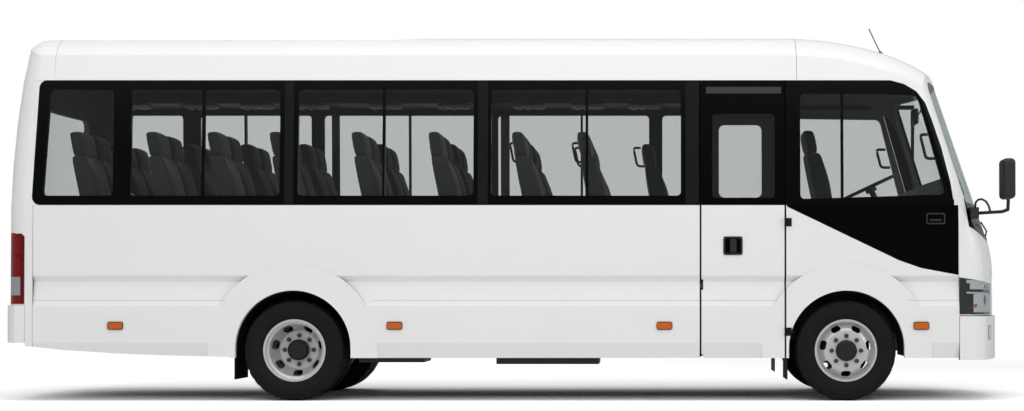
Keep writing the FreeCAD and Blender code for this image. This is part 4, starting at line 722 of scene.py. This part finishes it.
def hoop(feet, reach, bend=0.025, steps=4):
    """Path of a grab handle: out from one foot, along, and back to the other."""
    start, end = Vector(feet[0]), Vector(feet[1])
    reach = Vector(reach)
    along = (end - start).normalized()
    out = reach.normalized()
    path = [start]
    for corner, a, b in ((start + reach, -out, along), (end + reach, -along, -out)):
        for i in range(steps + 1):
            t = i / steps
            path.append(corner + a * bend * (1 - t) ** 2 + b * bend * t ** 2)
    path.append(end)
    return path


GRAB_INSET = 0.12
# A matt skin with a fine grain.
grab_black = solid_finish("black_grab_handle_skin", "#141516", 0.55, 0.1, 700)
bm = bmesh.new()
for side, label in SIDES:
    y = side * (SEAT_SPOTS[1] - GRAB_INSET)
    for head_x in SEAT_ROWS if side < 0 else LEFT_ROWS:
        feet = ((head_x + 0.036, y, 1.780), (head_x + 0.006, y, 1.925))
        add_tube(bm, hoop(feet, (-0.058, 0, 0.002)), 0.009)
new_piece("seat_grab_handles", "body", grab_black, bm)
bm = bmesh.new()
add_tube(bm, hoop(((3.085, -0.868, 1.935), (3.128, -0.868, 1.760)), (-0.075, 0.01, 0)), 0.011)
add_tube(bm, hoop(((2.962, 0.848, 1.962), (3.000, 0.848, 1.815)), (-0.075, -0.01, 0)), 0.011)
new_piece("pillar_grab_handles", "body", grab_black, bm)

# Mirror stays
# Bent tube from each outer mirror's bracket over to its arm, with the same
# black skin.

STAY_PATH = ((3.400, 0.925, 1.397), (3.403, 0.930, 1.436), (3.418, 0.943, 1.455), (3.443, 0.965, 1.458),
             (3.468, 0.992, 1.440), (3.484, 1.014, 1.404), (3.492, 1.030, 1.362))
bm = bmesh.new()
for side, label in SIDES:
    add_tube(bm, [(x, side * y, z) for x, y, z in STAY_PATH], 0.008)
new_piece("mirror_stays", "body", grab_black, bm)

# Overhead lamp units
# Light grey moulded units over each row, with two air outlets and a lamp,
# clipped under the racks.

UNIT_X, UNIT_Y = (-0.10, 0.16), (0.655, 0.785)
LAMP_X, LAMP_Y = (0.07, 0.14), (0.69, 0.75)
OUTLETS_X, OUTLET_Y = (-0.05, 0.02), 0.72


def add_cone(bm, segments, foot, head, depth, matrix):
    """Adds a closed cone from its foot radius to its head radius."""
    bmesh.ops.create_cone(bm, cap_ends=True, segments=segments, radius1=foot, radius2=head, depth=depth,
                          matrix=matrix)


bm = bmesh.new()
for side, label in SIDES:
    low_y, high_y = sorted(side * y for y in UNIT_Y)
    lamp_low, lamp_high = sorted(side * y for y in LAMP_Y)
    for head_x in LEFT_ROWS:
        add_block(bm, (head_x + UNIT_X[0], low_y, 2.288), (head_x + UNIT_X[1], high_y, 2.313), 0.008, 3)
        for x in OUTLETS_X:
            spot = Matrix.Translation((head_x + x, side * OUTLET_Y, 2.282))
            add_cone(bm, 24, 0.018, 0.024, 0.014, spot)
        add_block(bm, (head_x + LAMP_X[0], lamp_low, 2.281), (head_x + LAMP_X[1], lamp_high, 2.292), 0.003, 2)
# Pale, so that the units stand out under the dark racks.
unit_grey = solid_finish("light_grey_moulded_lamp_unit", "#B4B7B9", 0.45, 0.05, 600)
new_piece("overhead_lamp_units", "body", unit_grey, bm, smooth=False)

# Inside mirror
# Black moulded mirror back on a bent steel stalk, screwed to the roof over the
# middle of the screen.

bm = bmesh.new()
add_block(bm, (3.070, -0.12, 2.085), (3.105, 0.12, 2.205), 0.014, 3)
add_tube(bm, ((3.100, 0, 2.150), (3.135, 0, 2.190), (3.150, 0, 2.260)), 0.008)
new_piece("cab_mirror", "body", grab_black, bm)

# Tyres
# Black rubber with plain sidewalls, a rim guard, and a tread of four grooves
# with cut shoulders.

TYRE_SIDE = ((0.0725, 0.221), (0.0775, 0.2275), (0.090, 0.232), (0.099, 0.247), (0.1045, 0.268),
             (0.1075, 0.292), (0.1065, 0.312), (0.1025, 0.330), (0.0955, 0.3505), (0.0905, 0.3575),
             (0.084, 0.3605))
TREAD = ((0.060, 0.3622), (0.060, 0.3540), (0.052, 0.3540), (0.052, 0.3626), (0.026, 0.3629), (0.026, 0.3545),
         (0.017, 0.3545), (0.017, 0.3630))
SHOULDER = (0.062, 0.1)
SHOULDER_RADIUS = 0.345
TREAD_STEPS = 96
CUT_EVERY = 3
CUT_DEPTH = 0.006
CUT_WALL = 0.0015


def rubber(name):
    """Dull black with patches of dust, so that the sidewall isn't one flat tone."""
    material, tree = blank(name)
    place = add(tree, "ShaderNodeTexCoord").outputs["Object"]
    dust = add(tree, "ShaderNodeTexNoise", Vector=place, Scale=14.0, Detail=4.0)
    tint = add(tree, "ShaderNodeMix", {"data_type": "RGBA"}, i0=dust.outputs[0],
               i6=linear("#0B0B0C"), i7=linear("#161617"))
    close(tree, add(tree, "ShaderNodeBsdfPrincipled", Roughness=0.7, Specular_IOR_Level=0.2,
                    Base_Color=tint.outputs[2], Normal=fine_bump(tree, place, 600, 0.12)))
    return material


tyre_rubber = rubber("black_tyre_rubber")


def add_tyre(bm, x, y, z):
    """Turns the tyre's profile, and cuts every third block of the shoulders."""
    profile = list(TYRE_SIDE + TREAD)
    profile += [(-w, r) for w, r in reversed(profile)]
    verts = [bm.verts.new((x, y + w, z + r)) for w, r in profile]
    edges = [bm.edges.new((a, b)) for a, b in zip(verts, verts[1:])]
    edges.append(bm.edges.new((verts[-1], verts[0])))
    bmesh.ops.spin(bm, geom=verts + edges, cent=(x, y, z), axis=(0, 1, 0), dvec=(0, 0, 0),
                   angle=2 * math.pi, steps=TREAD_STEPS, use_merge=True, use_duplicate=False)
    blocks = []
    for face in bm.faces:
        c = face.calc_center_median()
        if math.hypot(c.x - x, c.z - z) > SHOULDER_RADIUS and SHOULDER[0] < abs(c.y - y) < SHOULDER[1]:
            turn = int((math.atan2(c.z - z, c.x - x) + math.pi) / (2 * math.pi) * TREAD_STEPS)
            if turn % CUT_EVERY == 0:
                blocks.append(face)
    bmesh.ops.inset_region(bm, faces=blocks, thickness=CUT_WALL, depth=-CUT_DEPTH, use_even_offset=True)


WHEELS = {
    "wheel_front_right": (2.460, (-0.858,), "tyre_front_right"),
    "wheel_front_left": (2.460, (0.858,), "tyre_front_left"),
    "wheel_rear_right": (-1.535, (-0.858, -0.618), "tyres_rear_right"),
    "wheel_rear_left": (-1.535, (0.858, 0.618), "tyres_rear_left"),
}
AXLE_Z = 0.363
for body, (x, spots, node_name) in WHEELS.items():
    bm = bmesh.new()
    for y in spots:
        single = bmesh.new()
        add_tyre(single, x, y, AXLE_Z)
        bmesh.ops.remove_doubles(single, verts=single.verts[:], dist=0.00005)
        bmesh.ops.recalc_face_normals(single, faces=single.faces[:])
        gather(bm, single)
    piece = new_piece(node_name + "_treaded", body, tyre_rubber, bm, smooth=False)
    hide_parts(node_name)

# Wheels
# Pressed steel rims in silver paint, dark cast hubs, and plated hex nuts on
# the studs that hold each rim.

NUT_COUNT = 8
NUT_CIRCLE = 0.106
NUT_OUT, STUD_OUT = 0.010, 0.017
FRONT_FACE_Y, REAR_FACE_Y = 0.963, 0.750
# The enamel glints softly, the cast hubs stay dark, and the plated nuts catch small lights.
wheel_silver = solid_finish("silver_wheel_enamel", "#CFD0D1", 0.34, 0.04, metallic=0.35, worn="#C4C5C6")
hub_dark = solid_finish("dark_cast_hub", "#101112", 0.45, 0.2, 300, metallic=0.3)
dress(wheel_silver, "rim_front_right", "rim_front_left", "rims_rear_right", "rims_rear_left")
dress(hub_dark, "hub_front_right", "hub_front_left", "hub_rear_right", "hub_rear_left")
nut_plate = solid_finish("zinc_plated_nut", "#4C4E50", 0.35, 0.05, metallic=0.9)
for body, (x, spots, node_name) in WHEELS.items():
    bm = bmesh.new()
    side = -1 if spots[0] < 0 else 1
    y = side * ((FRONT_FACE_Y if "front" in body else REAR_FACE_Y) + NUT_OUT)
    for i in range(NUT_COUNT):
        turn = 2 * math.pi * i / NUT_COUNT
        spot = (x + NUT_CIRCLE * math.cos(turn), y, AXLE_Z + NUT_CIRCLE * math.sin(turn))
        out = Matrix.Rotation(math.radians(-90 * side), 4, "X") @ Matrix.Rotation(turn, 4, "Z")
        nut = Matrix.Translation(spot) @ out
        stud = nut @ Matrix.Translation((0, 0, STUD_OUT))
        add_cone(bm, 6, 0.0175, 0.0165, 0.022, nut)
        add_cone(bm, 12, 0.009, 0.008, 0.016, stud)
    new_piece("wheel_nuts_" + body[6:], body, nut_plate, bm, smooth=False)

# Underbody
# Frame, axles and springs in black chassis paint, a cast engine, a steel
# exhaust, and moulded liners in the arches.

# Dark and dull, so that the underbody stays in the shade of the skirt.
dress(solid_finish("black_chassis_paint", "#161718", 0.5, 0.1, 300, worn="#1F2021"),
      "chassis_frame", "front_axle", "rear_axle", "leaf_springs", "knuckle_right", "knuckle_left",
      "propshaft", "battery_box", "fuel_tank")
dress(solid_finish("grey_cast_engine", "#2E3031", 0.55, 0.2, 300, metallic=0.3), "engine")
dress(solid_finish("dull_exhaust_steel", "#5A5550", 0.5, 0.1, 200, metallic=0.8), "exhaust")
liner_black = solid_finish("black_liner_plastic", "#0E0F10", 0.65, 0.15, 500, shine=0.2)
dress(liner_black, "wheel_liners")

# Arch inner panels
# Pressed black panels that close the inner side of each rear wheel arch, with
# a stiffening bead along the edge.

ARCH_CENTRE = (-1.535, 0.363)
ARCH_EDGE = 0.423
ARCH_BEAD = 0.014
ARCH_DROP = 0.17
PANEL_Y, BEAD_Y = (0.492, 0.488), (0.4955, 0.492)


def arch_arc(radius, steps=28):
    """Points of an arch's edge from its front foot over to its rear one."""
    low = math.asin(ARCH_DROP / radius)
    turns = [low + (math.pi - 2 * low) * i / steps for i in range(steps + 1)]
    x, z = ARCH_CENTRE
    return [(x + radius * math.cos(turn), z + radius * math.sin(turn)) for turn in turns]


panel_outline = arch_arc(ARCH_EDGE)
bead_outline = panel_outline + arch_arc(ARCH_EDGE - ARCH_BEAD)[::-1]
for side, label in SIDES:
    bm = bmesh.new()
    for outline, faces_y in ((panel_outline, PANEL_Y), (bead_outline, BEAD_Y)):
        skin(bm, [[bm.verts.new((x, side * y, z)) for x, z in outline] for y in faces_y])
    new_piece("arch_inner_panel_" + label, "body", liner_black, bm, smooth=False, triangles=True)

# Lamps
# Coloured moulded lenses at the rear and the sides, and dark fog lamps, each
# with fine ribs behind its skin.

# Ribs are about 10 mm apart.
RIBS = 30.0
TAIL_RED = "#7C060B"
TAIL_BANDS = ((0, TAIL_RED), (0.762, "#9A9C9E"), (0.895, TAIL_RED), (1.042, "#3A0709"), (1.052, TAIL_RED))


def lens(name, *bands):
    """Moulded lens whose colour changes with height; bands are (from height, colour)."""
    material, tree = blank(name)
    place = add(tree, "ShaderNodeTexCoord").outputs["Object"]
    z = add(tree, "ShaderNodeSeparateXYZ", Vector=place).outputs[2]
    colour = linear(bands[0][1])
    for level, shade in bands[1:]:
        over = add(tree, "ShaderNodeMath", {"operation": "GREATER_THAN"}, i0=z, i1=level)
        colour = add(tree, "ShaderNodeMix", {"data_type": "RGBA"}, i0=over.outputs[0],
                     i6=colour, i7=linear(shade)).outputs[2]
    ribs = add(tree, "ShaderNodeTexWave", {"bands_direction": "Z"}, Vector=place, Scale=RIBS)
    relief = add(tree, "ShaderNodeBump", Strength=0.15, Distance=0.001, Height=ribs.outputs[1])
    close(tree, add(tree, "ShaderNodeBsdfPrincipled", Base_Color=colour, Roughness=0.2,
                    Specular_IOR_Level=0.2, Coat_Weight=0.15, Coat_Roughness=0.04, Normal=relief.outputs[0]))
    return material


dress(lens("red_and_clear_tail_lens", *TAIL_BANDS), "tail_lamps")
dress(lens("amber_marker_lens", (0, "#CC6420")), "side_markers")
dress(lens("clear_fog_lens", (0, "#1D1F21")), "fog_lamps")

# Marker bezels
# Black moulded frames round the four amber markers of each side, screwed to
# the skirt.

MARKERS = (-2.814, -0.801, 1.145, 2.997)
BEZEL_DEPTH = 0.0115
bm = bmesh.new()
for side, label in SIDES:
    for x in MARKERS:
        outer = rounded_loop((x - 0.057, 0.514), (x + 0.057, 0.572), 0.014)
        inner = rounded_loop((x - 0.044, 0.527), (x + 0.044, 0.559), 0.008)
        add_surround(bm, outer, inner, side, BEZEL_DEPTH, BEZEL_DEPTH, flat=True)
new_piece("marker_bezels", "body", handle_black, bm, smooth=False)

# Tail lamp sides
# Dark red lens edges that carry each tail lamp round onto the side, moulded
# to the corner panel and clipped over it.

LENS_X = (-3.532, -3.471)
LENS_Z = (0.700, 1.208)
LENS_CORNER = 0.022
LENS_GAUGE = 0.004
SIDEWAYS = 0.3
bm = bmesh.new()
bm.from_mesh(nodes["rear_panel"].data)
bm.transform(nodes["rear_panel"].matrix_world)
for place, way in (((LENS_X[0], 0, 0), (-1, 0, 0)), ((LENS_X[1], 0, 0), (1, 0, 0)),
                   ((0, 0, LENS_Z[0]), (0, 0, -1)), ((0, 0, LENS_Z[1]), (0, 0, 1)),
                   ((LENS_X[1] - LENS_CORNER, 0, LENS_Z[1]), (1, 0, 1))):
    bmesh.ops.bisect_plane(bm, geom=bm.verts[:] + bm.edges[:] + bm.faces[:], plane_co=place, plane_no=way,
                           clear_outer=True)
# Only the faces that look out to their own side are kept.
inward = [face for face in bm.faces if face.normal.y * face.calc_center_median().y < SIDEWAYS]
bmesh.ops.delete(bm, geom=inward, context="FACES")
bmesh.ops.remove_doubles(bm, verts=bm.verts[:], dist=0.0002)
bm.normal_update()
bmesh.ops.solidify(bm, geom=bm.faces[:], thickness=-LENS_GAUGE)
new_piece("tail_lamp_sides", "body", lens("dark_red_side_lens", (0, "#5E070B")), bm, smooth=False)

# Headlamp insides
# A clear moulded cover over a black bowl that holds a projector in a chrome
# ring, light strips beside it and an amber bulb at the outer end.

dress(pane_glass("clear_headlamp_cover", "#E4E7E8", 0.03, (0.6, 0.06)), "headlamps")
BOWL_DEPTH = 0.009
bm = bmesh.new()
bm.from_mesh(nodes["headlamps"].data)
bm.transform(nodes["headlamps"].matrix_world)
bmesh.ops.remove_doubles(bm, verts=bm.verts[:], dist=0.0005)
bm.normal_update()
for v in bm.verts:
    v.co -= v.normal * BOWL_DEPTH
lamp_black = solid_finish("black_headlamp_bowl", "#0C0D0E", 0.3, 0.03)
# Two bright fields painted into the black bowl stand for its chrome reflectors; their pale colour is a
# painted reflection.
bowl, tree = blank("black_bowl_with_painted_reflections")
where = add(tree, "ShaderNodeTexCoord")
x, y, z = add(tree, "ShaderNodeSeparateXYZ", Vector=where.outputs["Object"]).outputs
upper = both(tree, between(tree, z, 0.806, 0.868), between(tree, x, 3.350, 4.0))
lower = both(tree, between(tree, z, 0.640, 0.772), between(tree, x, 3.378, 4.0))
painted_reflections = add(tree, "ShaderNodeMath", {"operation": "MAXIMUM"}, i0=upper, i1=lower)
# Light grey painted reflection over the black of the bowl.
tint = add(tree, "ShaderNodeMix", {"data_type": "RGBA"}, i0=painted_reflections.outputs[0],
           i6=linear("#0A0B0C"), i7=linear("#DDE0E2"))
close(tree, add(tree, "ShaderNodeBsdfPrincipled", Base_Color=tint.outputs[2], Roughness=0.3,
                Normal=fine_bump(tree, where.outputs["Object"], 90, 0.3, 0.003)))
new_piece("headlamp_bowls", "body", bowl, bm, smooth=False, outward=False)
# Chrome mirrors the lamp round it, the strips are pale, and the bulb is a dot of amber.
chrome = solid_finish("bright_reflector_chrome", "#E8E9EA", 0.12, 0.02, metallic=1.0)
glow = solid_finish("frosted_light_strip", "#DADDDF", 0.3, 0.02)
bulb = solid_finish("amber_bulb_glass", "#D2601A", 0.2, 0.02)
ROUND_SUNK = 0.010
ROUND_TAPER = 0.86
LAMP_CURVE = ((3.318, 1.003), (3.363, 0.996), (3.404, 0.977), (3.438, 0.947), (3.463, 0.909), (3.480, 0.867),
              (3.497, 0.825), (3.513, 0.782), (3.528, 0.739), (3.542, 0.696))


def lamp_front(share, side, sunk):
    """Spot sunk behind the lamp's front curve, share from its outer end, and the way out there."""
    place = share * (len(LAMP_CURVE) - 1)
    i = min(int(place), len(LAMP_CURVE) - 2)
    a, b = Vector(LAMP_CURVE[i]), Vector(LAMP_CURVE[i + 1])
    along = (b - a).normalized()
    way = Vector((abs(along.y), abs(along.x)))
    spot = a.lerp(b, place - i) - way * sunk
    return Vector((spot.x, side * spot.y)), Vector((way.x, side * way.y))


def add_lamp_round(bm, share, z, radius, depth, side):
    """Short turned ring or dome that faces out of the lamp."""
    spot, way = lamp_front(share, side, ROUND_SUNK)
    turn = way.to_3d().to_track_quat("Z", "Y").to_matrix().to_4x4()
    place = Matrix.Translation((spot.x, spot.y, z)) @ turn
    add_cone(bm, 32, radius, radius * ROUND_TAPER, depth, place)


ROUND_SPOTS = ((0.60, 0.728), (0.60, 0.826), (0.80, 0.826))
for name, material, spots, radii, depth in (
    ("projector_rings", chrome, ROUND_SPOTS, (0.050, 0.030, 0.030), 0.010),
    ("projector_lenses", lamp_black, ROUND_SPOTS, (0.038, 0.020, 0.020), 0.016),
    ("indicator_bulbs", bulb, ((0.20, 0.688),), (0.016,), 0.012),
):
    bm = bmesh.new()
    for side, label in SIDES:
        for (share, z), radius in zip(spots, radii):
            add_lamp_round(bm, share, z, radius, depth, side)
    new_piece(name, "body", material, bm)

STRIP_ENDS = (0.02, 0.94)
STRIP_HEIGHTS = ((0.776, 0.788), (0.850, 0.874))
STRIP_SUNK = (0.012, 0.004)
STRIP_DROP = 0.010
STRIP_STEPS = 12
bm = bmesh.new()
for side, label in SIDES:
    for z_low, z_high in STRIP_HEIGHTS:
        rings = []
        for i in range(STRIP_STEPS + 1):
            t = i / STRIP_STEPS
            share = STRIP_ENDS[0] + (STRIP_ENDS[1] - STRIP_ENDS[0]) * t
            inner, outer = (lamp_front(share, side, sunk)[0] for sunk in STRIP_SUNK)
            rings.append([bm.verts.new((spot.x, spot.y, z - STRIP_DROP * t)) for spot, z in
                          ((inner, z_low), (outer, z_low), (outer, z_high), (inner, z_high))])
        skin(bm, rings)
new_piece("light_strips", "body", glow, bm, smooth=False)

# Outside trim
# Black grained mouldings for the grille, mirrors, wipers and aerial, and
# painted steel hinges.

# The grain breaks up reflections on the mouldings, and paint leaves the hinges smooth.
dress(solid_finish("black_grained_plastic", "#151617", 0.5, 0.12, 600),
      "grille", "mirrors", "wipers", "aerial")
dress(solid_finish("black_painted_hinge", "#0D0E0F", 0.4, 0.03, shine=0.2), "door_hinges")
